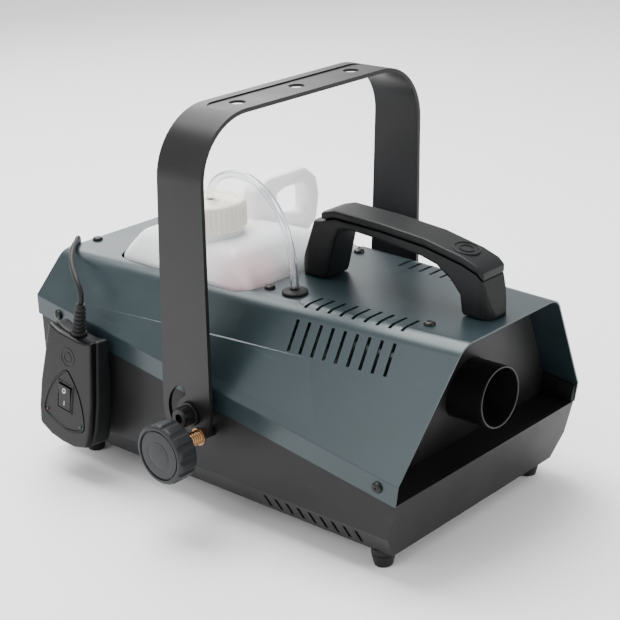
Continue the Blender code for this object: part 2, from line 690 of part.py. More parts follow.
def make_heater():
    w, h = HEATER_HALF_WIDTH, HEATER_HALF_HEIGHT
    end = HEATER_FRONT_STATION + HEATER_LENGTH
    block = box("heater_block", at(-w, HEATER_FRONT_STATION, NOZZLE_LEVEL - h), at(w, end, NOZZLE_LEVEL + h),
                ALUMINIUM)
    bevel(block, 0.004)
    hole(block, "element_bore", at(0, end - 0.058, NOZZLE_LEVEL), at(0, end + 0.01, NOZZLE_LEVEL),
         ELEMENT_RADIUS + GAP)
    turned("heating_element", [(0, 0.012), (0.0018, 0.012), (0.0018, 0.004), (ELEMENT_RADIUS, 0.004),
                               (ELEMENT_RADIUS, -0.056), (0, -0.056)],
           at(0, end, NOZZLE_LEVEL), (0, 1, 0), STEEL, steps=20)
    leg = 0.0015
    bracket = box("heater_bracket", at(-w, HEATER_FRONT_STATION + 0.012, NOZZLE_LEVEL - h - GAP - leg),
                  at(w, end - 0.012, NOZZLE_LEVEL - h - GAP), STEEL)
    for side, sign in SIDES:
        x = sign * (w - leg / 2)
        join(bracket, box(f"bracket_leg_{side}", at(x - leg / 2, HEATER_FRONT_STATION + 0.012, SHEET + GAP),
                          at(x + leg / 2, end - 0.012, NOZZLE_LEVEL - h - GAP - leg / 2), STEEL, CUTTERS))
    top = NOZZLE_LEVEL + h + GAP
    turned("thermostat", [(0, 0.009), (0.008, 0.009), (0.008, 0.002), (0.011, 0.002), (0.011, 0.0), (0, 0.0)],
           at(0.010, HEATER_FRONT_STATION + 0.030, top), (0, 0, 1), STEEL, steps=24)


def make_pump():
    x, along = GROMMET_X, GROMMET_STATION
    body = box("pump_body", at(x - PUMP_HALF, along - PUMP_HALF, PUMP_BOTTOM_LEVEL),
               at(x + PUMP_HALF, along + PUMP_HALF, PUMP_TOP_LEVEL - 0.014), BLACK_PLASTIC)
    bevel(body, 0.003)
    join(body, cylinder("pump_core", at(x, along, SHEET + GAP), at(x, along, PUMP_TOP_LEVEL), 0.0085,
                        STEEL, CUTTERS, 24))
    spring_foot = PLUNGER_FOOT + 2 * GAP + PLUNGER_LENGTH
    hole(body, "pump_bore", at(x, along, PLUNGER_FOOT), at(x, along, spring_foot + SPRING_LENGTH + GAP),
         PLUNGER_RADIUS + PLUNGER_CLEARANCE, 20)
    hole(body, "pump_outlet", at(x, along, spring_foot + SPRING_LENGTH),
         at(x, along, PUMP_TOP_LEVEL + 0.01), TUBE_RADIUS * 0.6, 12)
    plunger = cylinder("pump_plunger", at(x, along, PLUNGER_FOOT + GAP),
                       at(x, along, PLUNGER_FOOT + GAP + PLUNGER_LENGTH), PLUNGER_RADIUS, STEEL, segments=20)
    put_origin(plunger, at(x, along, PLUNGER_FOOT + GAP))
    turned("pump_spring", [(0.0042, SPRING_LENGTH), (0.0042, 0.0), (0.0034, 0.0), (0.0034, SPRING_LENGTH)],
           at(x, along, spring_foot), (0, 0, 1), STEEL, steps=16, closed=True)
    outlet = [at(x + PUMP_HALF + GAP, along - 0.004, 0.030), at(x + PUMP_HALF + 0.006, along - 0.004, 0.030),
              at(-0.018, along - 0.002, 0.036), at(-0.012, along - 0.003, 0.052),
              at(-0.012, along - 0.008, 0.064),
              at(-0.012, HEATER_FRONT_STATION + HEATER_LENGTH + 0.006, NOZZLE_LEVEL - 0.016),
              at(-0.012, HEATER_FRONT_STATION + HEATER_LENGTH + GAP, NOZZLE_LEVEL - 0.016)]
    round_tube("heater_feed_pipe", smooth_path(outlet, 0.006), FEED_RADIUS, STEEL)


def make_electronics():
    board_top = 0.012
    start = tank_front() + 0.020
    board = box("control_board", at(-0.060, start, board_top - 0.0016), at(0.030, start + 0.075, board_top),
                BOARD_GREEN)
    for k, (x, along) in enumerate(((-0.054, 0.006), (0.024, 0.006), (-0.054, 0.069), (0.024, 0.069))):
        join(board, cylinder(f"board_post_{k}", at(x, start + along, SHEET + GAP),
                             at(x, start + along, board_top - 0.0008), 0.003, STEEL, CUTTERS, 12))
    relay = box("heater_relay", at(-0.050, start + 0.015, board_top + GAP),
                at(-0.022, start + 0.031, board_top + 0.019), BLACK_PLASTIC)
    bevel(relay, 0.0008, 1)
    box("terminal_block", at(-0.008, start + 0.050, board_top + GAP),
        at(0.024, start + 0.062, board_top + 0.014), NATURAL_PLASTIC)


# ---------------------------------------------------------------- tank, cap, fluid and tube

def tank_block(name, wall, low_level, high_level, mat, collection):
    """The tank's body inset by a wall: straight below the shoulder, then drawn in on all four sides."""
    left, right = TANK_LEFT + wall, TANK_RIGHT - wall
    front, back = tank_front() + wall, tank_front() + TANK_DEPTH - wall
    bm = bmesh.new()
    rings = [(low_level, left, right, front, back),
             (min(SHOULDER_LEVEL, high_level), left, right, front, back)]
    if high_level > SHOULDER_LEVEL:
        rings.append((high_level, left + 0.008, LOOP_LEFT, front + 0.020, back - 0.020))
    for height, x0, x1, y0, y1 in rings:
        for x, y in ((x0, y0), (x1, y0), (x1, y1), (x0, y1)):
            bm.verts.new(at(x, y, height))
    bmesh.ops.convex_hull(bm, input=bm.verts)
    bmesh.ops.dissolve_limit(bm, angle_limit=0.01, verts=bm.verts, edges=bm.edges)
    return add_object(name, bm, mat, collection)


def make_tank():
    cap_station = tank_middle() - CAP_FORWARD
    tank = tank_block("tank", 0.0, TANK_FLOOR_LEVEL, SHOULDER_TOP_LEVEL, NATURAL_PLASTIC, PARTS)
    bevel(tank, TANK_ROUND, 3, math.radians(25))
    neck = cylinder("neck_outer", at(NECK_X, cap_station, SHOULDER_TOP_LEVEL - 0.004),
                    at(NECK_X, cap_station, NECK_TOP_LEVEL), NECK_RADIUS, NATURAL_PLASTIC, CUTTERS, 40)
    join(tank, neck)
    thick = LOOP_THICKNESS
    foot_left, foot_right = SHOULDER_TOP_LEVEL - 0.004, SHOULDER_LEVEL + 0.001
    outer = [(LOOP_LEFT - 0.004, foot_left), (LOOP_LEFT, LOOP_TOP_LEVEL - 0.006),
             (LOOP_LEFT + 0.012, LOOP_TOP_LEVEL), (LOOP_RIGHT - 0.016, LOOP_TOP_LEVEL),
             (LOOP_RIGHT - 0.003, LOOP_TOP_LEVEL - 0.010), (LOOP_RIGHT, LOOP_TOP_LEVEL - 0.026),
             (LOOP_RIGHT - 0.004, foot_right + 0.006), (LOOP_RIGHT - 0.014, foot_right - 0.002),
             (LOOP_RIGHT - 0.030, foot_right - 0.002), (LOOP_LEFT + 0.006, foot_left - 0.012)]
    loop = prism("tank_loop", [at(x, cap_station - thick / 2, z) for x, z in outer], (0, thick, 0),
                 NATURAL_PLASTIC, CUTTERS)
    gap = [(LOOP_LEFT + 0.020, LOOP_TOP_LEVEL - 0.031), (LOOP_LEFT + 0.022, LOOP_TOP_LEVEL - 0.015),
           (LOOP_LEFT + 0.030, LOOP_TOP_LEVEL - 0.0125), (LOOP_RIGHT - 0.020, LOOP_TOP_LEVEL - 0.0125),
           (LOOP_RIGHT - 0.0135, LOOP_TOP_LEVEL - 0.018), (LOOP_RIGHT - 0.0135, LOOP_TOP_LEVEL - 0.034),
           (LOOP_RIGHT - 0.020, LOOP_TOP_LEVEL - 0.0375)]
    window = prism("tank_loop_gap", [at(x, cap_station - thick, z) for x, z in gap], (0, 2 * thick, 0),
                   NATURAL_PLASTIC, CUTTERS)
    cut(loop, window)
    bevel(loop, 0.004, 2)
    join(tank, loop)
    hollow = tank_block("tank_hollow", TANK_WALL, TANK_FLOOR_LEVEL + TANK_WALL, SHOULDER_TOP_LEVEL - TANK_WALL,
                        NATURAL_PLASTIC, CUTTERS)
    bevel(hollow, TANK_ROUND - TANK_WALL, 3, math.radians(25))
    cut(tank, hollow)
    hole(tank, "neck_bore", at(NECK_X, cap_station, SHOULDER_TOP_LEVEL - 0.010),
         at(NECK_X, cap_station, NECK_TOP_LEVEL + 0.01), NECK_RADIUS - TANK_WALL, 40)
    fluid = tank_block("tank_fluid", TANK_WALL + GAP, TANK_FLOOR_LEVEL + TANK_WALL + GAP, FLUID_LEVEL,
                       FLUID_PINK, PARTS)
    bevel(fluid, TANK_ROUND - TANK_WALL, 3, math.radians(25))
    hole(fluid, "fluid_tube_hole", at(NECK_X, cap_station, TUBE_FOOT_LEVEL - 0.002),
         at(NECK_X, cap_station, FLUID_LEVEL + 0.01), TUBE_RADIUS + GAP, 16)
    r = CAP_RADIUS
    top, bore = CAP_HEIGHT, NECK_RADIUS + 2 * GAP
    turned("tank_cap", [(TUBE_RADIUS + GAP, top), (r - 0.002, top), (r, top - 0.002), (r, 0.0), (bore, 0.0),
                        (bore, top - CAP_WALL - 0.001), (TUBE_RADIUS + GAP, top - CAP_WALL - 0.001)],
           at(NECK_X, cap_station, CAP_LEVEL), (0, 0, 1), CAP_PLASTIC, steps=40, closed=True)
    return cap_station


CAP_FORWARD = 0.004
TUBE_FOOT_LEVEL = 0.096


def arch(start, end, height, steps):
    """A loop of tube that leaves one upright end, peaks and comes down into the other."""
    lift = Vector((0, 0, height))
    points = []
    for k in range(steps + 1):
        t = k / steps
        points.append((1 - t) ** 3 * start + 3 * (1 - t) ** 2 * t * (start + lift * 0.62)
                      + 3 * (1 - t) * t * t * (end + lift * 2.15) + t ** 3 * end)
    return points


def make_tube(cap_station):
    cap_top = CAP_LEVEL + CAP_HEIGHT
    low = [at(NECK_X, cap_station, TUBE_FOOT_LEVEL), at(NECK_X, cap_station, 0.140),
           at(NECK_X, cap_station, cap_top + 0.002)]
    over = arch(low[-1], at(GROMMET_X, GROMMET_STATION, TOP_LEVEL + 0.006), ARCH_HEIGHT, 16)
    end = [at(GROMMET_X, GROMMET_STATION, TOP_LEVEL - 0.010), at(GROMMET_X, GROMMET_STATION, 0.100),
           at(GROMMET_X, GROMMET_STATION, PUMP_TOP_LEVEL + GAP)]
    round_tube("fluid_tube", low[:2] + over + end, TUBE_RADIUS, CLEAR_TUBE)
    r, inner = GROMMET_RADIUS, TUBE_RADIUS + GAP
    groove = r - 0.0025
    turned("tube_grommet", [(inner, 0.0030), (r - 0.001, 0.0030), (r, 0.0020), (r, GAP), (groove, GAP),
                            (groove, -SHEET - GAP), (r - 0.001, -SHEET - GAP), (r - 0.001, -SHEET - 0.0022),
                            (inner, -SHEET - 0.0022)],
           at(GROMMET_X, GROMMET_STATION, TOP_LEVEL), (0, 0, 1), RUBBER, steps=28, closed=True)


# ---------------------------------------------------------------- carrying handle

def handle_outline(drop):
    """The handle's outer line in (station, level), lowered by a distance from its top face."""
    return [(0.1665, TOP_LEVEL + GAP), (0.1500, 0.1900), (0.1425, 0.1975 - drop), (0.1300, 0.2008 - drop),
            (0.0900, 0.1992 - drop), (0.0500, 0.1955 - drop), (0.0190, 0.1890 - drop), (0.0060, 0.1845 - drop),
            (0.0010, 0.1800 - drop), (HANDLE_FRONT_STATION, TOP_LEVEL + GAP)]


HANDLE_ARCH = [(0.0190, TOP_LEVEL + GAP), (0.0205, 0.1610), (0.0280, 0.1700), (0.0400, 0.1780),
               (0.0530, 0.1815), (0.0920, 0.1862), (0.1180, 0.1880), (0.1260, 0.1862), (0.1300, 0.1800),
               (0.1390, TOP_LEVEL + GAP)]


def make_handle():
    half = HANDLE_WIDTH / 2
    drop = HANDLE_CAP_THICKNESS
    body_line = handle_outline(drop + GAP) + HANDLE_ARCH
    body = prism("handle_body", [at(-half, y, z) for y, z in body_line], (HANDLE_WIDTH, 0, 0),
                 BLACK_PLASTIC)
    bevel(body, HANDLE_ROUND, 2, math.radians(60))
    front, back = HANDLE_FRONT_STATION - GAP, 0.1668
    corners = [(0, front), (half, front), (half, back), (-half, back), (-half, front), (-0.0005, front)]
    plan = filleted([Vector(c) for c in corners], [HANDLE_END_ROUND] * 4, 7)
    plan_body = prism("handle_plan", [at(p.x, p.y, 0.14) for p in plan], (0, 0, 0.08), BLACK_PLASTIC, CUTTERS)
    cut(body, plan_body, "INTERSECT")
    high, low = handle_outline(0)[2:-1], handle_outline(drop)[2:-1]
    cap = prism("handle_cap", [at(-half, y, z) for y, z in high + low[::-1]], (HANDLE_WIDTH, 0, 0),
                BLACK_PLASTIC)
    bevel(cap, 0.0022, 2, math.radians(60))
    cut(cap, plan_body, "INTERSECT")


# ---------------------------------------------------------------- yoke, pivots and knobs

def arm_centre(height):
    """Station of an arm's middle line, which leans forward towards the top."""
    share = (height - PIVOT_LEVEL) / (YOKE_TOP_LEVEL - PIVOT_LEVEL)
    return PIVOT_STATION + ARM_OFFSET + YOKE_TOP_SHIFT * share


def arm_half(height):
    share = (height - PIVOT_LEVEL) / (YOKE_TOP_LEVEL - PIVOT_LEVEL)
    return ARM_HALF_WIDTH + (YOKE_TOP_HALF_WIDTH - ARM_HALF_WIDTH) * share


def make_yoke():
    """One flat strip bent into an upside-down U, with rounded ends, arc slots and hanging holes."""
    r = YOKE_CORNER_RADIUS
    rows = []
    for k in range(6):
        angle = math.radians(85 - 17 * k)
        rows.append((-YOKE_HALF_WIDTH, PIVOT_LEVEL - ARM_HALF_WIDTH * math.sin(angle),
                     ARM_HALF_WIDTH * math.cos(angle)))
    for k in range(YOKE_CORNER_STEPS + 1):
        angle = math.pi / 2 * k / YOKE_CORNER_STEPS
        height = YOKE_TOP_LEVEL - r + r * math.sin(angle)
        rows.append((-YOKE_HALF_WIDTH + r - r * math.cos(angle), height, arm_half(height)))
    rows += [(-x, height, half) for x, height, half in reversed(rows)]
    bm = bmesh.new()
    strips = []
    for x, height, half in rows:
        middle = arm_centre(height)
        strips.append([bm.verts.new(at(x, middle + s * half, height)) for s in (-1, 1)])
    for a, b in zip(strips, strips[1:]):
        bm.faces.new((a[0], a[1], b[1], b[0]))
    yoke = add_object("yoke", bm, YOKE_PAINT)
    top_face = max(yoke.data.polygons, key=lambda face: face.center.z)
    if top_face.normal.z < 0:
        yoke.data.flip_normals()
    strip = yoke.modifiers.new("Strip", "SOLIDIFY")
    strip.thickness = YOKE_THICKNESS
    strip.offset = -1
    strip.use_even_offset = True
    for k in (-1, 0, 1):
        x, along = k * YOKE_HOLE_SPACING, arm_centre(YOKE_TOP_LEVEL)
        hole(yoke, f"yoke_hole_{k + 1}", at(x, along, YOKE_TOP_LEVEL - 0.02),
             at(x, along, YOKE_TOP_LEVEL + 0.02), YOKE_HOLE_RADIUS)
    span = YOKE_HALF_WIDTH + 0.02
    hole(yoke, "pivot_holes", at(-span, PIVOT_STATION, PIVOT_LEVEL), at(span, PIVOT_STATION, PIVOT_LEVEL),
         PIVOT_SHAFT_RADIUS + PIVOT_CLEARANCE + 0.00005, 48)
    slot = []
    for k in range(19):
        angle = math.radians(SLOT_START_DEG + (SLOT_END_DEG - SLOT_START_DEG) * k / 18)
        slot.append((angle, SLOT_RADIUS + SLOT_HALF_WIDTH))
    for k in range(1, 6):
        turn = math.radians(SLOT_END_DEG)
        swing = turn + math.pi * k / 6
        slot.append(("end", turn, swing))
    for k in range(19):
        angle = math.radians(SLOT_END_DEG + (SLOT_START_DEG - SLOT_END_DEG) * k / 18)
        slot.append((angle, SLOT_RADIUS - SLOT_HALF_WIDTH))
    for k in range(1, 6):
        turn = math.radians(SLOT_START_DEG)
        swing = turn + math.pi + math.pi * k / 6
        slot.append(("end", turn, swing))
    outline = []
    for entry in slot:
        if entry[0] == "end":
            _, turn, swing = entry
            y = SLOT_RADIUS * math.cos(turn) + SLOT_HALF_WIDTH * math.cos(swing)
            z = SLOT_RADIUS * math.sin(turn) + SLOT_HALF_WIDTH * math.sin(swing)
        else:
            y, z = entry[1] * math.cos(entry[0]), entry[1] * math.sin(entry[0])
        outline.append(at(-span, PIVOT_STATION + y, PIVOT_LEVEL + z))
    cut(yoke, prism("arc_slots", outline, (2 * span, 0, 0), STEEL, CUTTERS))
    put_origin(yoke, at(0, PIVOT_STATION, PIVOT_LEVEL))


def stud_point():
    angle = math.radians(SLOT_START_DEG)
    return PIVOT_STATION + SLOT_RADIUS * math.cos(angle), PIVOT_LEVEL + SLOT_RADIUS * math.sin(angle)


def make_pivots(base):
    inner = BODY_HALF_WIDTH - 2 * SHEET - GAP
    arm_inside = YOKE_HALF_WIDTH - YOKE_THICKNESS
    stud_station, stud_level = stud_point()
    for side, sign in SIDES:
        shaft = PIVOT_SHAFT_RADIUS
        seat = BODY_HALF_WIDTH - SHEET - GAP
        # Heights run outwards from the base's side: shaft end, spacer, arm, washer and domed nut.
        spacer = arm_inside - GAP - seat
        arm = YOKE_HALF_WIDTH + GAP - seat
        profile = [(0, arm + 0.0125), (0.004, arm + 0.012), (0.0068, arm + 0.009), (0.0075, arm + 0.006),
                   (0.0075, arm + 0.0025), (0.0092, arm + 0.0025), (0.0092, arm), (shaft, arm),
                   (shaft, spacer), (0.0085, spacer), (0.0085, SHEET + 2 * GAP), (0.0050, SHEET + 2 * GAP),
                   (0.0050, GAP), (shaft, GAP), (shaft, -0.012), (0, -0.012)]
        turned(f"pivot_bolt_{side}", profile, at(sign * seat, PIVOT_STATION, PIVOT_LEVEL), (sign, 0, 0),
               BLACK_STEEL, steps=32)
        hole(base, f"pivot_base_hole_{side}", at(sign * (inner - 0.01), PIVOT_STATION, PIVOT_LEVEL),
             at(sign * (seat + 0.01), PIVOT_STATION, PIVOT_LEVEL), shaft + GAP)
        notch = cylinder(f"pivot_flange_notch_{side}", at(sign * (inner - 0.01), PIVOT_STATION, PIVOT_LEVEL),
                         at(sign * (seat + 0.01), PIVOT_STATION, PIVOT_LEVEL), 0.0050 + GAP, STEEL, CUTTERS, 24)
        cut(cover_shell, notch)
        # The knob's origin is on its own axis, at its outer face.
        back = KNOB_THICKNESS
        knob_centre = at(sign * KNOB_FACE_X, stud_station, stud_level)
        knob = turned(f"knob_{side}", [(0, 0), (KNOB_RADIUS - 0.003, 0), (KNOB_RADIUS, -0.003),
                                       (KNOB_RADIUS, -back + 0.002), (KNOB_RADIUS - 0.002, -back),
                                       (0.009, -back), (0.008, -back - 0.009), (0, -back - 0.009)],
                      knob_centre, (sign, 0, 0), BLACK_PLASTIC, steps=56)
        flutes = bmesh.new()
        for k in range(KNOB_FLUTES):
            angle = 2 * math.pi * k / KNOB_FLUTES
            place = Vector((0, math.cos(angle), math.sin(angle))) * (KNOB_RADIUS + 0.0026)
            turn = Matrix.Rotation(math.pi / 2, 4, "Y")
            bmesh.ops.create_cone(flutes, cap_ends=True, segments=12, radius1=0.0038, radius2=0.0038, depth=0.06,
                                  matrix=Matrix.Translation(knob_centre + place) @ turn)
        cut(knob, add_object(f"knob_flutes_{side}", flutes, BLACK_PLASTIC, CUTTERS))
        collar_back = KNOB_FACE_X - KNOB_THICKNESS - 0.009 - GAP - seat
        turned(f"knob_stud_{side}",
               [(0, collar_back), (0.0052, collar_back), (0.0052, arm + 0.0012), (0.0066, arm + 0.0012),
                (0.0066, arm), (STUD_RADIUS, arm), (STUD_RADIUS, -0.010), (0, -0.010)],
               at(sign * seat, stud_station, stud_level), (sign, 0, 0), BRASS, steps=24)
        hole(base, f"stud_base_hole_{side}", at(sign * (inner - 0.01), stud_station, stud_level),
             at(sign * (seat + 0.01), stud_station, stud_level), STUD_RADIUS + GAP)


# ---------------------------------------------------------------- remote, its cord and plug

REMOTE = bpy.data.objects.new("remote_origin", None)
PARTS.objects.link(REMOTE)
REMOTE.hide_render = True
REMOTE.location = (REMOTE_X, rear(REMOTE_REAR_MARGIN), level(REMOTE_LEVEL))
REMOTE.rotation_euler = (math.radians(REMOTE_TILT_DEG), math.radians(REMOTE_LEAN_DEG), 0)


def remote_matrix():
    turn = REMOTE.rotation_euler.to_matrix().to_4x4()
    return Matrix.Translation(REMOTE.location) @ turn


def remote_point(out, along, up):
    """A world point from the remote's own axes: out of its face, along it and up it."""
    return remote_matrix() @ Vector((-out, along, up))


def on_remote(made):
    made.parent = REMOTE
    return made


def remote_prism(name, outline, low_out, high_out, mat, collection=PARTS):
    points = [Vector((-low_out, y, z)) for y, z in outline]
    return on_remote(prism(name, points, (low_out - high_out, 0, 0), mat, collection))


def remote_outline(shrink=0.0):
    half = REMOTE_HEIGHT / 2 - shrink
    top, mid, bottom = (w - shrink for w in (REMOTE_TOP_HALF, REMOTE_MIDDLE_HALF, REMOTE_BOTTOM_HALF))
    left = [(-top, half), (-mid, -0.004), (-mid, -0.026), (-bottom, -half + 0.006),
            (-bottom * 0.5, -half + 0.001), (0, -half)]
    right = [(-y, z) for y, z in reversed(left[:-1])]
    shares = (0.85, 0.68, 0.50, 0.34)
    dip = [(top * t, half - REMOTE_DIP * (1 - ((t - 0.34) / 0.66) ** 2)) for t in shares]
    dip += [(-y, z) for y, z in reversed(dip)]
    return left + right + dip


def bezel_line():
    """The bezel's rounded triangle in (along, up), each side a shallow arc between two corners."""
    corners = [(0.0, 0.0155), (-0.0240, -0.0268), (0.0240, -0.0268)]
    bulges = [(-0.0045, 0.0032), (0.0, -0.0075), (0.0045, 0.0032)]
    points = []
    for (y0, z0), (y1, z1), (dy, dz) in zip(corners, corners[1:] + corners[:1], bulges):
        for t in (0.04, 0.09, 0.20, 0.35, 0.50, 0.65, 0.80, 0.91, 0.96):
            arc = 4 * t * (1 - t)
            points.append((y0 + (y1 - y0) * t + dy * arc, z0 + (z1 - z0) * t + dz * arc))
    return points


BEZEL_LINE = bezel_line()
ROCKER_LEVEL = -0.0075
BEZEL_PROUD = 0.0006
ROCKER_AXIS_OUT = -0.0020


def make_remote():
    split = -0.006
    front = remote_prism("remote_front_shell", remote_outline(), split + GAP, 0.0, GLOSS_BLACK)
    bevel(front, 0.002, 2, math.radians(50))
    pocket_line = [(y * 1.022, (z + 0.0110) * 1.022 - 0.0110) for y, z in BEZEL_LINE]
    cut(front, remote_prism("remote_pocket", pocket_line, -0.003, 0.01, GLOSS_BLACK, CUTTERS))
    w, h = ROCKER_WIDTH / 2 + 2 * GAP, ROCKER_HEIGHT / 2 + 2 * GAP
    window = [(-w, ROCKER_LEVEL - h), (w, ROCKER_LEVEL - h), (w, ROCKER_LEVEL + h), (-w, ROCKER_LEVEL + h)]
    cut(front, remote_prism("rocker_shell_window", window, -0.02, 0.02, GLOSS_BLACK, CUTTERS))
    back = remote_prism("remote_back_shell", remote_outline(), -REMOTE_THICKNESS, split, BLACK_PLASTIC)
    for point in back.data.vertices:
        if point.co.x > REMOTE_THICKNESS - 0.001:
            point.co.x -= REMOTE_TAPER * (point.co.z / REMOTE_HEIGHT + 0.5)
    bevel(back, 0.003, 2, math.radians(50))
    cut(back, remote_prism("rocker_back_pocket", window, -0.014, 0.0, BLACK_PLASTIC, CUTTERS))
    bezel = remote_prism("remote_bezel", BEZEL_LINE, -0.003 + GAP, BEZEL_PROUD, GLOSS_BLACK)
    cut(bezel, remote_prism("rocker_bezel_window", window, -0.02, 0.02, GLOSS_BLACK, CUTTERS))
    half = ROCKER_HEIGHT / 2
    paddle = [(0.0018, half), (0.0007, 0.0), (0.0006, -half), (-0.006, -half + 0.002), (-0.009, 0.0),
              (-0.006, half - 0.002)]
    points = [Vector((-out, -ROCKER_WIDTH / 2, ROCKER_LEVEL + up)) for out, up in paddle]
    rocker = on_remote(prism("remote_rocker", points, (0, ROCKER_WIDTH, 0), GLOSS_BLACK))
    put_origin(rocker, (-ROCKER_AXIS_OUT, 0, ROCKER_LEVEL))


def behind(points):
    """World points from (x, distance behind the cover's rear edge, height over the floor)."""
    return [Vector((x, rear(-back), z)) for x, back, z in points]


def make_cord():
    top = REMOTE_HEIGHT / 2 - REMOTE_DIP
    middle_out = -(REMOTE_THICKNESS - REMOTE_TAPER) / 2
    base_point = remote_point(middle_out, 0, top + GAP)
    up = (remote_point(middle_out, 0, 1) - remote_point(middle_out, 0, 0)).normalized()
    turned("remote_strain_relief",
           [(0, 0.024), (0.0040, 0.024), (0.0043, 0.021), (0.0052, 0.002), (0.0066, 0.002), (0.0066, 0.0), (0, 0.0)],
           base_point, up, RUBBER, steps=20)
    leave = base_point + up * (0.024 + 2 * GAP)
    coil_centre = Vector((COIL_X, rear(-COIL_DISTANCE), COIL_HALF_SECTION * 1.15))
    route = [leave, leave + up * 0.004] + behind(CORD_OVER_EDGE + CORD_DOWN)
    round_tube("remote_cord", smooth_path(route, 0.0095), CORD_RADIUS, RUBBER)
    s = COIL_HALF_SECTION
    m, h = COIL_MIDDLE_RADIUS, s * 1.15
    turned("cord_coil", [(m + s * 0.6, h), (m + s, h * 0.6), (m + s, -h * 0.6), (m + s * 0.6, -h),
                         (m - s * 0.6, -h), (m - s, -h * 0.6), (m - s, h * 0.6), (m - s * 0.6, h)],
           coil_centre, (0, 0, 1), RUBBER, steps=32, closed=True)
    plug_start = at(SOCKET["x"], BODY_LENGTH - REAR_PANEL_INSET + SHEET + GAP + 0.003 + GAP, SOCKET["level"])
    turned("remote_plug", [(0, 0.026), (0.0030, 0.026), (0.0042, 0.014), (0.0066, 0.013), (0.0074, 0.011),
                           (0.0074, 0.0), (0.0045, 0.0), (0.0045, -0.008), (0, -0.008)],
           plug_start, (0, 1, 0), BLACK_PLASTIC, steps=24)
    tail = [plug_start + Vector((0, 0.026 + GAP, 0)), plug_start + Vector((0, 0.034, 0))]
    round_tube("remote_cord_tail", smooth_path(tail + behind(CORD_TAIL), 0.0095), CORD_RADIUS, RUBBER)


# Where the remote's cord lies: x, distance behind the cover's rear edge, height over the floor.
COIL_X = 0.024
COIL_DISTANCE = 0.042
CORD_OVER_EDGE = [(-0.1172, -0.0664, 0.1500), (-0.1155, -0.0618, 0.1560), (-0.1105, -0.0528, 0.1602),
                  (-0.1032, -0.0418, 0.1630), (-0.0867, -0.0233, 0.1645), (-0.0760, -0.0128, 0.1645),
                  (-0.0680, -0.0058, 0.1636)]
CORD_DOWN = [(-0.0600, 0.0012, 0.1632), (-0.0560, 0.0062, 0.1560), (-0.0545, 0.0077, 0.1350),
             (-0.0530, 0.0087, 0.0900), (-0.0510, 0.0107, 0.0350), (-0.0450, 0.0142, 0.0110),
             (-0.0300, 0.0162, 0.0032), (-0.0100, 0.0162, 0.0030)]
CORD_TAIL = [(-0.0240, 0.0287, 0.0555), (-0.0250, 0.0387, 0.0420), (-0.0265, 0.0437, 0.0220),
             (-0.0265, 0.0487, 0.0070), (-0.0220, 0.0577, 0.0030), (-0.0110, 0.0647, 0.0030),
             (-0.0020, 0.0672, 0.0040)]


base_tray = make_base()
cover_shell = make_cover()
cut_opening(cover_shell)
cut_louvres(cover_shell)
make_cover_screws(cover_shell, base_tray)
hole(cover_shell, "grommet_hole", at(GROMMET_X, GROMMET_STATION, TOP_LEVEL - 0.01),
     at(GROMMET_X, GROMMET_STATION, TOP_LEVEL + 0.01), GROMMET_RADIUS - 0.0025 + GAP)
make_front_panel()
make_rear()
make_inner_sheets()
make_feet()
make_nozzle()
make_heater()
make_pump()
make_electronics()
make_tube(make_tank())
make_handle()
make_yoke()
make_pivots(base_tray)
make_remote()
make_cord()
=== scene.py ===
import json
import math

import bpy
from mathutils import Euler, Matrix, Vector


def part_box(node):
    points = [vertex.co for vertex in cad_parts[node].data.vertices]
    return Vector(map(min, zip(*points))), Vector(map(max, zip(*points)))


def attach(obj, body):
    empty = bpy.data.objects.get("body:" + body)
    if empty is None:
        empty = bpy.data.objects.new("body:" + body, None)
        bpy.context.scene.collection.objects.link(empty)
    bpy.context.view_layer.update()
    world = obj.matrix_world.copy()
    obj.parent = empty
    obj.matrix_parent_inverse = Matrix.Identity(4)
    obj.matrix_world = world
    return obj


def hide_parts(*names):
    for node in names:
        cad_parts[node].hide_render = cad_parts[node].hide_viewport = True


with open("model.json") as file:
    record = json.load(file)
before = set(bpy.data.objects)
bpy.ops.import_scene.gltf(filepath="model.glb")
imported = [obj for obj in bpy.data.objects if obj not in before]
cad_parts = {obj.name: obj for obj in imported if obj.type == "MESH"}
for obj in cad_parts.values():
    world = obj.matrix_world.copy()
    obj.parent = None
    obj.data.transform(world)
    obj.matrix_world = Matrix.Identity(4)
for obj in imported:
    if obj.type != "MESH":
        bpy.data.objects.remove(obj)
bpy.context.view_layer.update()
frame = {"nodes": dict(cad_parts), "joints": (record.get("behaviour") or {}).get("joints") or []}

joints = {joint["name"]: joint for joint in frame["joints"]}
print("frame loaded:", len(frame["nodes"]), "nodes")

# Handling helpers


def deselectAll():
    if bpy.context.mode != "OBJECT":
        bpy.ops.object.mode_set(mode="OBJECT")
    bpy.ops.object.select_all(action="DESELECT")


def makeActive(piece):
    deselectAll()
    piece.select_set(True)
    bpy.context.view_layer.objects.active = piece


def editAll(piece, mode="VERT"):
    makeActive(piece)
    bpy.ops.object.mode_set(mode="EDIT")
    bpy.ops.mesh.select_mode(type=mode)
    bpy.ops.mesh.select_all(action="SELECT")


def selectFaces(piece, test):
    # leaves edit mode on, with only the faces that pass the test selected
    makeActive(piece)
    bpy.ops.object.mode_set(mode="EDIT")
    bpy.ops.mesh.select_mode(type="FACE")
    bpy.ops.mesh.select_all(action="DESELECT")
    bpy.ops.object.mode_set(mode="OBJECT")
    for face in piece.data.polygons:
        face.select = bool(test(face.center, face.normal))
    bpy.ops.object.mode_set(mode="EDIT")


def applyAll(piece):
    makeActive(piece)
    for modifier in list(piece.modifiers):
        bpy.ops.object.modifier_apply(modifier=modifier.name)


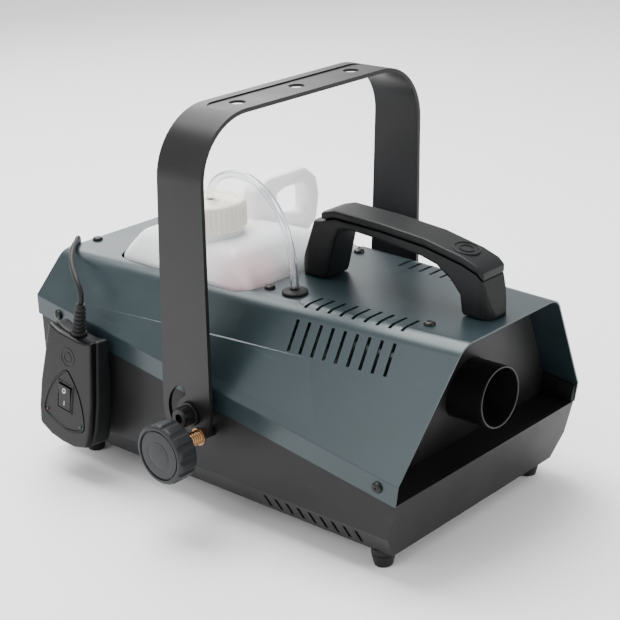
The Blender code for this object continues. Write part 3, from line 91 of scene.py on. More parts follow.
def roundEdges(piece, width, segments=2, angle=30):
    bevel = piece.modifiers.new("roundEdges", "BEVEL")
    bevel.width = width
    bevel.segments = segments
    bevel.limit_method = "ANGLE"
    bevel.angle_limit = math.radians(angle)
    bevel.use_clamp_overlap = True
    applyAll(piece)


def cutWith(piece, cutter, operation="DIFFERENCE"):
    boolean = piece.modifiers.new("cut", "BOOLEAN")
    boolean.operation = operation
    boolean.solver = "EXACT"
    boolean.object = cutter
    applyAll(piece)
    bpy.data.objects.remove(cutter, do_unlink=True)


def standOn(point, axis):
    # a piece drawn up +Z at the origin, put at a point with its Z along the axis
    turn = Vector(axis).to_track_quat("Z", "Y").to_matrix().to_4x4()
    return Matrix.Translation(Vector(point)) @ turn


def putAt(piece, place):
    makeActive(piece)
    bpy.ops.object.transform_apply(location=True, rotation=True, scale=True)
    piece.matrix_world = place
    bpy.context.view_layer.update()
    bpy.ops.object.transform_apply(location=True, rotation=True, scale=True)
    return piece


def fixNormals(piece, threshold=1e-6):
    editAll(piece)
    bpy.ops.mesh.remove_doubles(threshold=threshold)
    bpy.ops.mesh.normals_make_consistent(inside=False)
    bpy.ops.object.mode_set(mode="OBJECT")


def finishPiece(piece, finish, body, angle=35):
    # applied transforms, smooth shading up to an angle with the flats kept flat, its finish, and its body
    makeActive(piece)
    bpy.ops.object.transform_apply(location=True, rotation=True, scale=True)
    bpy.ops.object.shade_smooth_by_angle(angle=math.radians(angle))
    flats = piece.modifiers.new("flatFaces", "WEIGHTED_NORMAL")
    flats.keep_sharp = True
    applyAll(piece)
    piece.data.materials.clear()
    piece.data.materials.append(finishes[finish])
    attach(piece, body)
    return piece


def copyPiece(piece, name):
    made = bpy.data.objects.new(name, piece.data.copy())
    bpy.context.scene.collection.objects.link(made)
    return made


def turnPiece(name, rings, segments=64, loop=False):
    # rings are (radius, height): a circle is extruded and resized from each to the next
    deselectAll()
    radius, height = rings[0]
    bpy.ops.mesh.primitive_circle_add(vertices=segments, radius=radius, location=(0, 0, height),
                                      fill_type="NOTHING" if loop else "NGON")
    piece = bpy.context.active_object
    piece.name = name
    bpy.ops.object.mode_set(mode="EDIT")
    bpy.ops.mesh.select_mode(type="VERT")
    bpy.ops.mesh.select_all(action="SELECT")
    for (oldRadius, oldHeight), (radius, height) in zip(rings, rings[1:]):
        bpy.ops.mesh.extrude_region_move(TRANSFORM_OT_translate={"value": (0, 0, height - oldHeight)})
        bpy.ops.transform.resize(value=(radius / oldRadius, radius / oldRadius, 1),
                                 center_override=(0, 0, height))
    bpy.ops.object.mode_set(mode="OBJECT")
    bpy.ops.object.transform_apply(location=True, rotation=True, scale=True)
    fixNormals(piece)
    return piece


def arcRings(radius, height, bend, start, end, steps=4):
    # a rounded corner for turnPiece: bend is its radius, start and end its angles in degrees
    rings = []
    for k in range(steps + 1):
        angle = math.radians(start + (end - start) * k / steps)
        rings.append((radius + bend * math.cos(angle), height + bend * math.sin(angle)))
    return rings


def refinePiece(node, name, width, segments=2, edgeAngle=30):
    # the node's own shape with whole faces and softened edges
    piece = bpy.data.objects.new(name, frame["nodes"][node].data.copy())
    bpy.context.scene.collection.objects.link(piece)
    makeActive(piece)
    bpy.ops.mesh.customdata_custom_splitnormals_clear()
    editAll(piece)
    bpy.ops.mesh.remove_doubles(threshold=0.000002)
    bpy.ops.mesh.dissolve_limited(angle_limit=math.radians(0.4))
    bpy.ops.object.mode_set(mode="OBJECT")
    if width:
        roundEdges(piece, width, segments, edgeAngle)
    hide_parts(node)
    return piece


# Finishes

finishSpecs = {
    # colour, worn colour, roughness, metallic, grain scale, grain depth, mottle, scuff, refraction
    "coverPaint": ((.0165, .0305, .0355), (.06, .09, .10), .34, .30, 900, .10, .10, .25, 1.45),
    "basePaint": ((.0078, .0078, .0083), (.035, .035, .037), .42, .05, 800, .16, .14, .30, 1.33),
    "yokePaint": ((.0070, .0070, .0078), (.03, .03, .032), .36, .10, 1000, .12, .12, .35, 1.38),
    "blackPlastic": ((.0050, .0054, .0060), (.020, .021, .022), .40, 0, 1500, .22, .12, .25, 1.30),
    "knobPlastic": ((.0075, .0090, .0108), (.028, .030, .034), .46, 0, 1700, .26, .14, .30, 1.40),
    "glossBlack": ((.0030, .0030, .0034), (.012, .012, .013), .26, 0, 1100, .04, .10, .20, 1.28),
    "rubber": ((.0055, .0055, .0058), (.018, .018, .019), .52, 0, 1400, .22, .15, .25, 1.36),
    "blackSteel": ((.0080, .0080, .0088), (.05, .05, .053), .30, .35, 900, .08, .12, .40, 1.42),
    "capPlastic": ((.82, .80, .70), (.90, .88, .80), .40, 0, 700, .08, .04, .12, 1.47),
    "whiteMark": ((.60, .60, .60), (.45, .45, .45), .50, 0, 900, .05, .06, .10, 1.47),
    "boardGreen": ((.02, .16, .06), (.05, .25, .10), .42, 0, 300, .06, .18, .10, 1.47),
    "lampGreen": ((.012, .045, .016), (.03, .08, .03), .15, 0, 700, .03, .10, .05, 1.47),
    "lampRed": ((.055, .010, .008), (.10, .02, .015), .15, 0, 700, .03, .10, .05, 1.47),
    "brass": ((.40, .235, .115), (.55, .38, .22), .34, 1, 600, .10, .16, .35, 1.47),
    "aluminium": ((.50, .50, .51), (.64, .64, .65), .42, 1, 350, .30, .12, .30, 1.47),
    "steel": ((.40, .40, .41), (.56, .56, .58), .34, 1, 500, .10, .12, .35, 1.47),
}
finishes = {}


def newGroup(name, inputs, outputs):
    group = bpy.data.node_groups.new(name, "ShaderNodeTree")
    for label, kind, value in inputs:
        socket = group.interface.new_socket(name=label, in_out="INPUT", socket_type=kind)
        if value is not None:
            socket.default_value = value
    for label, kind in outputs:
        group.interface.new_socket(name=label, in_out="OUTPUT", socket_type=kind)
    return group, group.nodes.new("NodeGroupInput"), group.nodes.new("NodeGroupOutput")


def addNode(tree, kind, links=None, **values):
    # links is {input name or index: socket or plain value}
    node = tree.nodes.new(kind)
    for key, value in values.items():
        setattr(node, key, value)
    for key, value in (links or {}).items():
        if isinstance(value, bpy.types.NodeSocket):
            tree.links.new(value, node.inputs[key])
        else:
            node.inputs[key].default_value = value
    return node


def makePaintedSurface():
    # moulded or painted surface: fine grain, broad mottling and thin rubbed scuffs
    group, given, put = newGroup("paintedSurface", [
        ("Vector", "NodeSocketVector", None), ("Colour", "NodeSocketColor", (.5, .5, .5, 1)),
        ("Worn Colour", "NodeSocketColor", (.8, .8, .8, 1)), ("Roughness", "NodeSocketFloat", .5),
        ("Grain Scale", "NodeSocketFloat", 900), ("Grain Depth", "NodeSocketFloat", .1),
        ("Mottle", "NodeSocketFloat", .1), ("Scuff", "NodeSocketFloat", .2)],
        [("Colour", "NodeSocketColor"), ("Roughness", "NodeSocketFloat"), ("Height", "NodeSocketFloat")])
    inside = given.outputs
    broad = addNode(group, "ShaderNodeTexNoise", {"Vector": inside["Vector"], "Scale": 34.0, "Detail": 3.0})
    fine = addNode(group, "ShaderNodeTexNoise",
                   {"Vector": inside["Vector"], "Scale": inside["Grain Scale"], "Detail": 2.0})
    stretch = addNode(group, "ShaderNodeVectorMath", {0: inside["Vector"], 1: (1.0, .16, .55)},
                      operation="MULTIPLY")
    rub = addNode(group, "ShaderNodeTexNoise", {"Vector": stretch.outputs[0], "Scale": 240.0, "Detail": 4.0})
    rubMask = addNode(group, "ShaderNodeMapRange", {0: rub.outputs[0], 1: .60, 2: .74, 3: 0.0, 4: 1.0})
    patch = addNode(group, "ShaderNodeMapRange", {0: broad.outputs[0], 1: .45, 2: .75, 3: 0.0, 4: 1.0})
    worn = addNode(group, "ShaderNodeMath", {0: rubMask.outputs[0], 1: patch.outputs[0]},
                   operation="MULTIPLY")
    wornShare = addNode(group, "ShaderNodeMath", {0: worn.outputs[0], 1: inside["Scuff"]},
                        operation="MULTIPLY")
    centred = addNode(group, "ShaderNodeMath", {0: broad.outputs[0], 1: .5}, operation="SUBTRACT")
    shade = addNode(group, "ShaderNodeMath", {0: centred.outputs[0], 1: inside["Mottle"]},
                    operation="MULTIPLY")
    gain = addNode(group, "ShaderNodeMath", {0: shade.outputs[0], 1: 4.0, 2: 1.0}, operation="MULTIPLY_ADD")
    tinted = addNode(group, "ShaderNodeVectorMath", {0: inside["Colour"], "Scale": gain.outputs[0]},
                     operation="SCALE")
    mixed = addNode(group, "ShaderNodeMix", {0: wornShare.outputs[0], 6: tinted.outputs[0],
                                             7: inside["Worn Colour"]}, data_type="RGBA")
    rougher = addNode(group, "ShaderNodeMath", {0: shade.outputs[0], 1: 1.6, 2: inside["Roughness"]},
                      operation="MULTIPLY_ADD")
    grainy = addNode(group, "ShaderNodeMath", {0: fine.outputs[0], 1: .06, 2: rougher.outputs[0]},
                     operation="MULTIPLY_ADD")
    scuffed = addNode(group, "ShaderNodeMath", {0: wornShare.outputs[0], 1: .25, 2: grainy.outputs[0]},
                      operation="MULTIPLY_ADD")
    height = addNode(group, "ShaderNodeMath", {0: fine.outputs[0], 1: inside["Grain Depth"]},
                     operation="MULTIPLY")
    lowered = addNode(group, "ShaderNodeMath", {0: wornShare.outputs[0], 1: -.3, 2: height.outputs[0]},
                      operation="MULTIPLY_ADD")
    group.links.new(mixed.outputs[2], put.inputs["Colour"])
    group.links.new(scuffed.outputs[0], put.inputs["Roughness"])
    group.links.new(lowered.outputs[0], put.inputs["Height"])
    return group


def startFinish(name, roughness, metallic, ior=1.47):
    made = bpy.data.materials.new(name)
    made.use_nodes = True
    tree = made.node_tree
    shader = tree.nodes["Principled BSDF"]
    shader.inputs["Roughness"].default_value = roughness
    shader.inputs["Metallic"].default_value = metallic
    shader.inputs["IOR"].default_value = ior
    where = addNode(tree, "ShaderNodeTexCoord").outputs["Object"]
    finishes[name] = made
    return tree, shader, where


def usePaint(tree, shader, where, spec, colour=None):
    base, worn, roughness, _, grainScale, grainDepth, mottle, scuff, _ = spec
    surface = addNode(tree, "ShaderNodeGroup", node_tree=paintedSurface)
    values = {"Vector": where, "Colour": colour or (*base, 1), "Worn Colour": (*worn, 1),
              "Roughness": roughness, "Grain Scale": grainScale, "Grain Depth": grainDepth,
              "Mottle": mottle, "Scuff": scuff}
    for key, value in values.items():
        if isinstance(value, bpy.types.NodeSocket):
            tree.links.new(value, surface.inputs[key])
        else:
            surface.inputs[key].default_value = value
    bump = addNode(tree, "ShaderNodeBump", {"Strength": .55, "Distance": .0004,
                                            "Height": surface.outputs["Height"]})
    tree.links.new(surface.outputs["Colour"], shader.inputs["Base Color"])
    tree.links.new(surface.outputs["Roughness"], shader.inputs["Roughness"])
    tree.links.new(bump.outputs[0], shader.inputs["Normal"])


paintedSurface = makePaintedSurface()
for finishName, spec in finishSpecs.items():
    tree, shader, where = startFinish(finishName, spec[2], spec[3], spec[-1])
    usePaint(tree, shader, where, spec)
coverShader = finishes["coverPaint"].node_tree.nodes["Principled BSDF"]
coverShader.inputs["Coat Weight"].default_value = .25
coverShader.inputs["Coat Roughness"].default_value = .25


def makeTankPlastic():
    # milky blow-moulded wall, tinted by the fluid below its surface
    spec = ((.88, .88, .90), (.94, .94, .95), .30, 0, 160, .16, .03, .08, 1.45)
    tree, shader, where = startFinish("tankPlastic", .34, 0)
    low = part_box("tank")[0]
    corner = (low.x + .014, low.y + .012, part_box("cover")[1].z + .001)
    away = addNode(tree, "ShaderNodeVectorMath", {0: where, 1: corner}, operation="DISTANCE")
    wave = addNode(tree, "ShaderNodeTexNoise", {"Vector": where, "Scale": 60.0, "Detail": 2.0})
    wavy = addNode(tree, "ShaderNodeMath", {0: wave.outputs[0], 1: .012, 2: away.outputs["Value"]},
                   operation="MULTIPLY_ADD")
    wet = addNode(tree, "ShaderNodeMapRange", {0: wavy.outputs[0], 1: .012, 2: .042, 3: .62, 4: 0.0})
    height = addNode(tree, "ShaderNodeSeparateXYZ", {0: where}).outputs[2]
    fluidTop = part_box("tank_fluid")[1].z
    below = addNode(tree, "ShaderNodeMapRange", {0: height, 1: fluidTop + .010, 2: fluidTop - .006,
                                                 3: 0.0, 4: .60})
    either = addNode(tree, "ShaderNodeMath", {0: wet.outputs[0], 1: below.outputs[0]}, operation="MAXIMUM")
    mixed = addNode(tree, "ShaderNodeMix", {0: either.outputs[0], 6: (*spec[0], 1), 7: (.86, .36, .40, 1)},
                    data_type="RGBA")
    usePaint(tree, shader, where, spec, mixed.outputs[2])
    shader.inputs["Subsurface Weight"].default_value = .35
    shader.inputs["Subsurface Radius"].default_value = (.012, .010, .010)
    shader.inputs["Subsurface Scale"].default_value = 1


def makeClear(name, colour, roughness, transmission):
    tree, shader, where = startFinish(name, roughness, 0, 1.42)
    noise = addNode(tree, "ShaderNodeTexNoise", {"Vector": where, "Scale": 160.0, "Detail": 2.0})
    rough = addNode(tree, "ShaderNodeMapRange", {0: noise.outputs[0], 3: roughness, 4: roughness + .05})
    bump = addNode(tree, "ShaderNodeBump", {"Strength": .04, "Distance": .0002, "Height": noise.outputs[0]})
    tone = addNode(tree, "ShaderNodeMix", {0: noise.outputs[0], 6: (*colour, 1),
                                           7: (*(c * .93 for c in colour), 1)}, data_type="RGBA")
    tree.links.new(tone.outputs[2], shader.inputs["Base Color"])
    tree.links.new(rough.outputs[0], shader.inputs["Roughness"])
    tree.links.new(bump.outputs[0], shader.inputs["Normal"])
    shader.inputs["Transmission Weight"].default_value = transmission


makeTankPlastic()
makeClear("clearTube", (.93, .95, .97), .02, 1)
makeClear("fluidPink", (.90, .42, .46), .03, .6)
print("finishes made:", len(finishes))

# Camera, floor and lights

view = {
    "place": (-.8024, -.7363, .5393),
    "forward": (.69014, .63085, -.35458),
    "up": (.2867, .2116, .9344),
    "lens": 90.5,
    "floorSize": 12.0,
    "surround": .95,
}


def makeCamera():
    deselectAll()
    bpy.ops.object.camera_add(location=view["place"])
    camera = bpy.context.active_object
    forward = Vector(view["forward"]).normalized()
    right = forward.cross(Vector(view["up"])).normalized()
    turn = Matrix((right, right.cross(forward), -forward)).transposed()
    camera.rotation_euler = turn.to_euler()
    camera.data.lens = view["lens"]
    camera.data.sensor_width = 36
    camera.data.clip_start = .01
    bpy.context.scene.camera = camera


def makeStage():
    deselectAll()
    bpy.ops.mesh.primitive_plane_add(size=view["floorSize"], location=(0, 0, -.0002))
    floor = bpy.context.active_object
    floor.name = "studioFloor"
    tree, shader, where = startFinish("floorPaper", .85, 0)
    speck = addNode(tree, "ShaderNodeTexNoise", {"Vector": where, "Scale": 6.0, "Detail": 3.0})
    tone = addNode(tree, "ShaderNodeMix", {0: speck.outputs[0], 6: (.93, .93, .93, 1), 7: (.96, .96, .96, 1)},
                   data_type="RGBA")
    tree.links.new(tone.outputs[2], shader.inputs["Base Color"])
    floor.data.materials.append(finishes["floorPaper"])
    world = bpy.data.worlds.new("paleStudio")
    world.use_nodes = True
    world.node_tree.nodes["Background"].inputs[0].default_value = (1, 1, 1, 1)
    world.node_tree.nodes["Background"].inputs[1].default_value = view["surround"]
    bpy.context.scene.world = world


lamps = {
    # place, aim, size, watts
    "overhead": ((.1, .5, 1.7), (0, 0, .1), 1.3, 62),
    "leftSoft": ((-1.6, .3, .9), (0, 0, .12), 1.0, 11),
    "frontSoft": ((.5, -1.9, .7), (0, 0, .10), 1.0, 14),
    "backRim": ((.9, 1.3, 1.0), (0, 0, .12), .8, 9),
}


def makeLamps():
    for name, (place, aim, size, power) in lamps.items():
        deselectAll()
        bpy.ops.object.light_add(type="AREA", location=place)
        lamp = bpy.context.active_object
        lamp.name = name
        lamp.rotation_euler = (Vector(aim) - Vector(place)).to_track_quat("-Z", "Y").to_euler()
        lamp.data.size = size
        lamp.data.energy = power


makeCamera()
makeStage()
makeLamps()
print("camera, floor and lights ready")

# Remote's cord: from its strain relief over the cover's edge, down behind, round its coil, up to its plug

cord = {
    "radius": .0021,
    "length": 2.0,
    "reliefFoot": (.0095, 0, .0428),
    "reliefLength": .0246,
    "firstStep": .004,
    "rearEdge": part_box("cover")[1].y,
    "overEdge": [(-.1172, -.0664, .1500), (-.1155, -.0618, .1560), (-.1105, -.0528, .1602),
                 (-.1032, -.0418, .1630), (-.0867, -.0233, .1645), (-.0760, -.0128, .1645),
                 (-.0680, -.0058, .1636)],
    "down": [(-.0600, .0012, .1632), (-.0560, .0062, .1560), (-.0545, .0077, .1350),
             (-.0530, .0087, .0900), (-.0510, .0107, .0350), (-.0450, .0142, .0110),
             (-.0300, .0160, .0032), (-.0100, .0152, .0025), (.0080, .0141, .0022)],
    "upToPlug": [(-.0020, .0672, .0040), (-.0110, .0647, .0030), (-.0220, .0577, .0030),
                 (-.0265, .0487, .0070), (-.0265, .0437, .0220), (-.0250, .0387, .0420),
                 (-.0240, .0287, .0555)],
    "coilRadius": .0240,
    "turnsPerRow": (3, 2, 3, 2),
    "pointsPerTurn": 20,
    "entryAngle": -90,
}


hang = {"tilt": 8, "lean": 4, "rockerPin": (.0020, 0, -.0075)}


def remoteFrame():
    # the remote's own axes, from the rocker's joint: its face looks along -X
    turn = Euler((math.radians(hang["tilt"]), math.radians(hang["lean"]), 0)).to_matrix()
    origin = Vector(joints["rocker_tip"]["pos_m"]) - turn @ Vector(hang["rockerPin"])
    return Matrix.Translation(origin) @ turn.to_4x4()


remoteAxes = remoteFrame()


def coilTurns():
    # (column, row) of each turn, from the outside of the lowest row to the outside of the top one
    turns = []
    for row, count in enumerate(cord["turnsPerRow"]):
        columns = [(count - 1) / 2 - k for k in range(count)]
        turns += [(column, row) for column in (columns if row % 2 == 0 else columns[::-1])]
    return turns


def coilPoints():
    low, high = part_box("cord_coil")
    centre = (low + high) / 2
    pitch, rise = 2 * cord["radius"], 2 * cord["radius"] * math.sin(math.radians(60))
    turns = coilTurns()
    points = []
    for index, (column, row) in enumerate(turns):
        nextColumn, nextRow = turns[min(index + 1, len(turns) - 1)]
        for k in range(cord["pointsPerTurn"]):
            share = k / cord["pointsPerTurn"]
            shift = min(1, max(0, (share - .80) / .20))
            shift = shift * shift * (3 - 2 * shift)
            radius = cord["coilRadius"] + pitch * (column + (nextColumn - column) * shift)
            height = low.z + cord["radius"] + rise * (row + (nextRow - row) * shift)
            angle = math.radians(cord["entryAngle"] + 360 * share)
            points.append(Vector((centre.x + radius * math.cos(angle), centre.y + radius * math.sin(angle),
                                  height)))
    # the last half turn, to the side that the plug's end leaves from
    column, row = turns[-1]
    radius = cord["coilRadius"] + pitch * column
    height = low.z + cord["radius"] + rise * row
    for k in range(cord["pointsPerTurn"] // 2):
        angle = math.radians(cord["entryAngle"] + 360 * k / cord["pointsPerTurn"])
        points.append(Vector((centre.x + radius * math.cos(angle), centre.y + radius * math.sin(angle),
                              height + .0036 * min(1, k / 4))))
    return points


def cordRoute():
    reliefFoot = remoteAxes @ Vector(cord["reliefFoot"])
    upwards = (remoteAxes.to_3x3() @ Vector((0, 0, 1))).normalized()
    leave = reliefFoot + upwards * cord["reliefLength"]
    behind = [[Vector((x, cord["rearEdge"] + back, z)) for x, back, z in cord[part]]
              for part in ("overEdge", "down", "upToPlug")]
    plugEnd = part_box("remote_plug")
    end = Vector(((plugEnd[0].x + plugEnd[1].x) / 2, plugEnd[1].y + .0003, (plugEnd[0].z + plugEnd[1].z) / 2))
    return ([leave, leave + upwards * cord["firstStep"]] + behind[0] + behind[1] + coilPoints() + behind[2]
            + [end + Vector((0, .008, 0)), end])


def makeCord():
    route = cordRoute()
    curve = bpy.data.curves.new("remoteCord", "CURVE")
    curve.dimensions = "3D"
    curve.bevel_depth = cord["radius"]
    curve.bevel_resolution = 3
    curve.resolution_u = 5
    curve.use_fill_caps = True
    spline = curve.splines.new("BEZIER")
    spline.bezier_points.add(len(route) - 1)
    for bend, point in zip(spline.bezier_points, route):
        bend.co = point
        bend.handle_left_type = bend.handle_right_type = "AUTO"
    curve.materials.append(finishes["rubber"])
    flex = bpy.data.objects.new("remoteCord", curve)
    bpy.context.scene.collection.objects.link(flex)
    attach(flex, "housing")
    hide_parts("remote_cord", "remote_cord_tail", "cord_coil")
    return flex, route[0]


remoteFlex, cordExit = makeCord()
print("cord laid")

# CAD nodes that keep their own shape, with a finish each

plainNodes = {
    "steel": ["divider_wall", "tank_shelf", "heater_bracket", "heating_element", "heater_feed_pipe",
              "thermostat", "pump_plunger", "pump_spring"],
    "aluminium": ["heater_block"],
    "blackPlastic": ["pump_body", "heater_relay"],
    "boardGreen": ["control_board"],
    "whiteMark": ["terminal_block"],
    "fluidPink": ["tank_fluid"],
}
for finishName, nodeNames in plainNodes.items():
    for nodeName in nodeNames:
        slots = frame["nodes"][nodeName].material_slots
        for k in range(len(slots)):
            slots[k].material = finishes[finishName]

# Sheet metal and mouldings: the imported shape, with whole faces and softened edges

refined = {
    # node: (name, edge width, finish, body, smooth angle)
    "cover": ("coverShell", .0005, "coverPaint", "housing", 28),
    "base_tray": ("baseTray", .0005, "basePaint", "housing", 28),
    "front_panel": ("frontPanel", .0004, "basePaint", "housing", 28),
    "rear_panel": ("rearPanel", .0004, "basePaint", "housing", 28),
    "handle_body": ("handleBody", .0008, "blackPlastic", "housing", 40),
    "handle_cap": ("handleCap", .0007, "blackPlastic", "housing", 40),
    "mains_inlet": ("mainsInlet", .0005, "blackPlastic", "housing", 30),
    "remote_front_shell": ("remoteFront", .0008, "glossBlack", "housing", 50),
    "remote_back_shell": ("remoteBack", .0008, "blackPlastic", "housing", 50),
    "tank": ("tankShell", .0012, "tankPlastic", "housing", 50),
}
for nodeName, (name, width, finish, body, angle) in refined.items():
    finishPiece(refinePiece(nodeName, name, width), finish, body, angle)
print("sheet metal and mouldings refined")

# Yoke, with the channel pressed into its top

yoke = {"edge": .0007, "channelHalfWidth": .0125, "channelHalfLength": .084, "channelDepth": .0010,
        "levelWithin": .0001}


def makeYoke():
    piece = refinePiece("yoke", "yokeStrip", 0)
    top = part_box("yoke")[1].z
    # the strip's top is level only along its length
    level = [v.co.y for v in frame["nodes"]["yoke"].data.vertices if v.co.z > top - yoke["levelWithin"]]
    middle = (min(level) + max(level)) / 2
    deselectAll()
    bpy.ops.mesh.primitive_cube_add(size=1, location=(0, middle, top), scale=(
        2 * yoke["channelHalfLength"], 2 * yoke["channelHalfWidth"], 2 * yoke["channelDepth"]))
    channel = bpy.context.active_object
    bpy.ops.object.transform_apply(location=True, rotation=True, scale=True)
    bpy.ops.object.mode_set(mode="EDIT")
    bpy.ops.mesh.select_mode(type="EDGE")
    bpy.ops.mesh.select_all(action="DESELECT")
    bpy.ops.object.mode_set(mode="OBJECT")
    for edge in channel.data.edges:
        a, b = (channel.data.vertices[v].co for v in edge.vertices)
        edge.select = abs(a.z - b.z) > yoke["channelDepth"]
    bpy.ops.object.mode_set(mode="EDIT")
    bpy.ops.mesh.bevel(offset=yoke["channelHalfWidth"] * .96, segments=8, affect="EDGES")
    bpy.ops.object.mode_set(mode="OBJECT")
    cutWith(piece, channel)
    roundEdges(piece, yoke["edge"], 3, 35)
    return finishPiece(piece, "yokePaint", "yoke", 32)


makeYoke()
print("yoke made")

# Screws

screw = {"head": .0041, "height": .0024, "slotWidth": .00085, "slotLength": .0046, "depth": .0013}


def makeScrew():
    r, h = screw["head"], screw["height"]
    dome = [(r * .98, h * .35), (r * .93, h * .60), (r * .82, h * .80), (r * .64, h * .93),
            (r * .40, h * .99)]
    rings = [(.0017, -.0050), (.0017, .0003), (r, .0003)] + dome + [(.0004, h)]
    head = turnPiece("screwHead", rings, 32)
    for k in range(2):
        deselectAll()
        bpy.ops.mesh.primitive_cube_add(size=1, location=(0, 0, h), rotation=(0, 0, math.pi / 2 * k),
                                        scale=(screw["slotLength"], screw["slotWidth"], 2 * screw["depth"]))
        cutter = bpy.context.active_object
        bpy.ops.object.transform_apply(location=True, rotation=True, scale=True)
        # the recess narrows as it goes down
        bpy.ops.object.mode_set(mode="EDIT")
        bpy.ops.object.mode_set(mode="OBJECT")
        for face in cutter.data.polygons:
            face.select = face.normal.z < -.9
        bpy.ops.object.mode_set(mode="EDIT")
        bpy.ops.transform.resize(value=(.55, .55, 1), center_override=(0, 0, 0))
        bpy.ops.object.mode_set(mode="OBJECT")
        cutWith(head, cutter)
    return head


def placeScrews():
    pattern = makeScrew()
    for nodeName in sorted(frame["nodes"]):
        if "_screw_" not in nodeName:
            continue
        low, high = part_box(nodeName)
        middle = (low + high) / 2
        side = -1 if nodeName.endswith("left") else 1
        if nodeName.startswith("top"):
            axis, seat = Vector((0, 0, 1)), Vector((middle.x, middle.y, high.z - screw["height"]))
        else:
            edge = high.x if side > 0 else low.x
            axis, seat = Vector((side, 0, 0)), Vector((edge - side * screw["height"], middle.y, middle.z))
        turn = Matrix.Rotation(math.radians(37 * len(nodeName) + 61 * side), 4, "Z")
        piece = copyPiece(pattern, nodeName.replace("_", "-"))
        putAt(piece, standOn(seat, axis) @ turn)
        finishPiece(piece, "blackSteel", "housing", 30)
        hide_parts(nodeName)
    bpy.data.objects.remove(pattern, do_unlink=True)


placeScrews()
print("screws placed")

# Knobs, their brass studs and the yoke's pivot nuts

knob = {"radius": .0223, "thickness": .017, "flutes": 14, "fluteRadius": .0038, "fluteOut": .0026,
        "grooveRadius": .0180, "grooveDepth": .0016, "discRadius": .0170, "hub": .0085, "hubLength": .009}


def makeKnob():
    r, t = knob["radius"], knob["thickness"]
    g, d = knob["grooveRadius"], knob["grooveDepth"]
    rings = [(knob["hub"], -t - knob["hubLength"]), (knob["hub"] + .0005, -t), (r - .0030, -t)]
    rings += arcRings(r - .0026, -t + .0026, .0026, -90, 0, 4)
    rings += arcRings(r - .0034, -.0034, .0034, 0, 80, 5)
    rings += [(g + .0007, -.0003), (g + .0004, -d), (g - .0004, -d), (g - .0007, -.0006)]
    rings += [(knob["discRadius"] * share, -.0006 + .0005 * (1 - share * share)) for share in (.98, .85, .66)]
    rings += [(knob["discRadius"] * .62, -.0005), (knob["discRadius"] * .58, -.0005),
              (knob["discRadius"] * .54, -.0001), (.0015, 0)]
    body = turnPiece("knobBody", rings, 112)
    deselectAll()
    cutters = []
    for k in range(knob["flutes"]):
        angle = 2 * math.pi * k / knob["flutes"]
        out = r + knob["fluteOut"]
        bpy.ops.mesh.primitive_cylinder_add(vertices=28, radius=knob["fluteRadius"], depth=.06,
                                            location=(out * math.cos(angle), out * math.sin(angle), 0))
        cutters.append(bpy.context.active_object)
    deselectAll()
    for cutter in cutters:
        cutter.select_set(True)
    bpy.context.view_layer.objects.active = cutters[0]
    bpy.ops.object.join()
    flutes = bpy.context.active_object
    bpy.ops.object.transform_apply(location=True, rotation=True, scale=True)
    cutWith(body, flutes)
    roundEdges(body, .0007, 3, 40)
    return body


stud = {"radius": .0040, "collar": .0066, "spigot": .0052}


def makeStud(side, name):
    low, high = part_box(f"knob_stud_{name}")
    reach = high.x - low.x
    inner = low.x if side > 0 else high.x
    arm = abs(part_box(f"pivot_bolt_{name}")[0].x if side < 0 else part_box(f"pivot_bolt_{name}")[1].x)
    collar = arm - abs(inner) - .0120
    r, s, c = stud["radius"], stud["spigot"], stud["collar"]
    rings = [(r, 0), (r, collar - .0016), (c - .0002, collar - .0016), (c, collar - .0014),
             (c, collar - .0002), (c - .0002, collar), (s, collar)]
    turns = 6
    pitch = (reach - .0006 - collar) / turns
    for k in range(turns):
        start = collar + .0003 + k * pitch
        rings += [(s, start + pitch * .15), (s - .0004, start + pitch * .5), (s, start + pitch * .85)]
    rings += [(s - .0004, reach), (.0006, reach)]
    piece = turnPiece(f"knobStud-{name}", rings, 40)
    putAt(piece, standOn((inner, (low.y + high.y) / 2, (low.z + high.z) / 2), (side, 0, 0)))
    finishPiece(piece, "brass", "housing", 40)
    piece.data.materials.append(finishes["blackSteel"])
    armFace = abs(inner) + collar - .0016
    for face in piece.data.polygons:
        face.material_index = int(abs(face.center.x) < armFace)
    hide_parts(f"knob_stud_{name}")


def makePivot(side, name):
    low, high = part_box(f"pivot_bolt_{name}")
    reach = high.x - low.x
    nut = reach - .0125
    spacer = nut - .0036
    rings = [(.0040, 0), (.0040, spacer - .0075), (.0085, spacer - .0075), (.0085, spacer), (.0040, spacer),
             (.0040, nut), (.0088, nut), (.0092, nut + .0004), (.0092, nut + .0021), (.0089, nut + .0025),
             (.0076, nut + .0026), (.0075, nut + .0060)]
    rings += [(.0073, nut + .0100), (.0066, nut + .0107), (.0006, nut + .0107)]
    piece = turnPiece(f"pivotNut-{name}", rings, 56)
    deselectAll()
    bpy.ops.mesh.primitive_cylinder_add(vertices=6, radius=.0038, depth=.0060, location=(0, 0, nut + .0107))
    socket = bpy.context.active_object
    cutWith(piece, socket)
    inner = low.x if side > 0 else high.x
    putAt(piece, standOn((inner, (low.y + high.y) / 2, (low.z + high.z) / 2), (side, 0, 0)))
    finishPiece(piece, "blackSteel", "housing", 40)
    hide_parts(f"pivot_bolt_{name}")


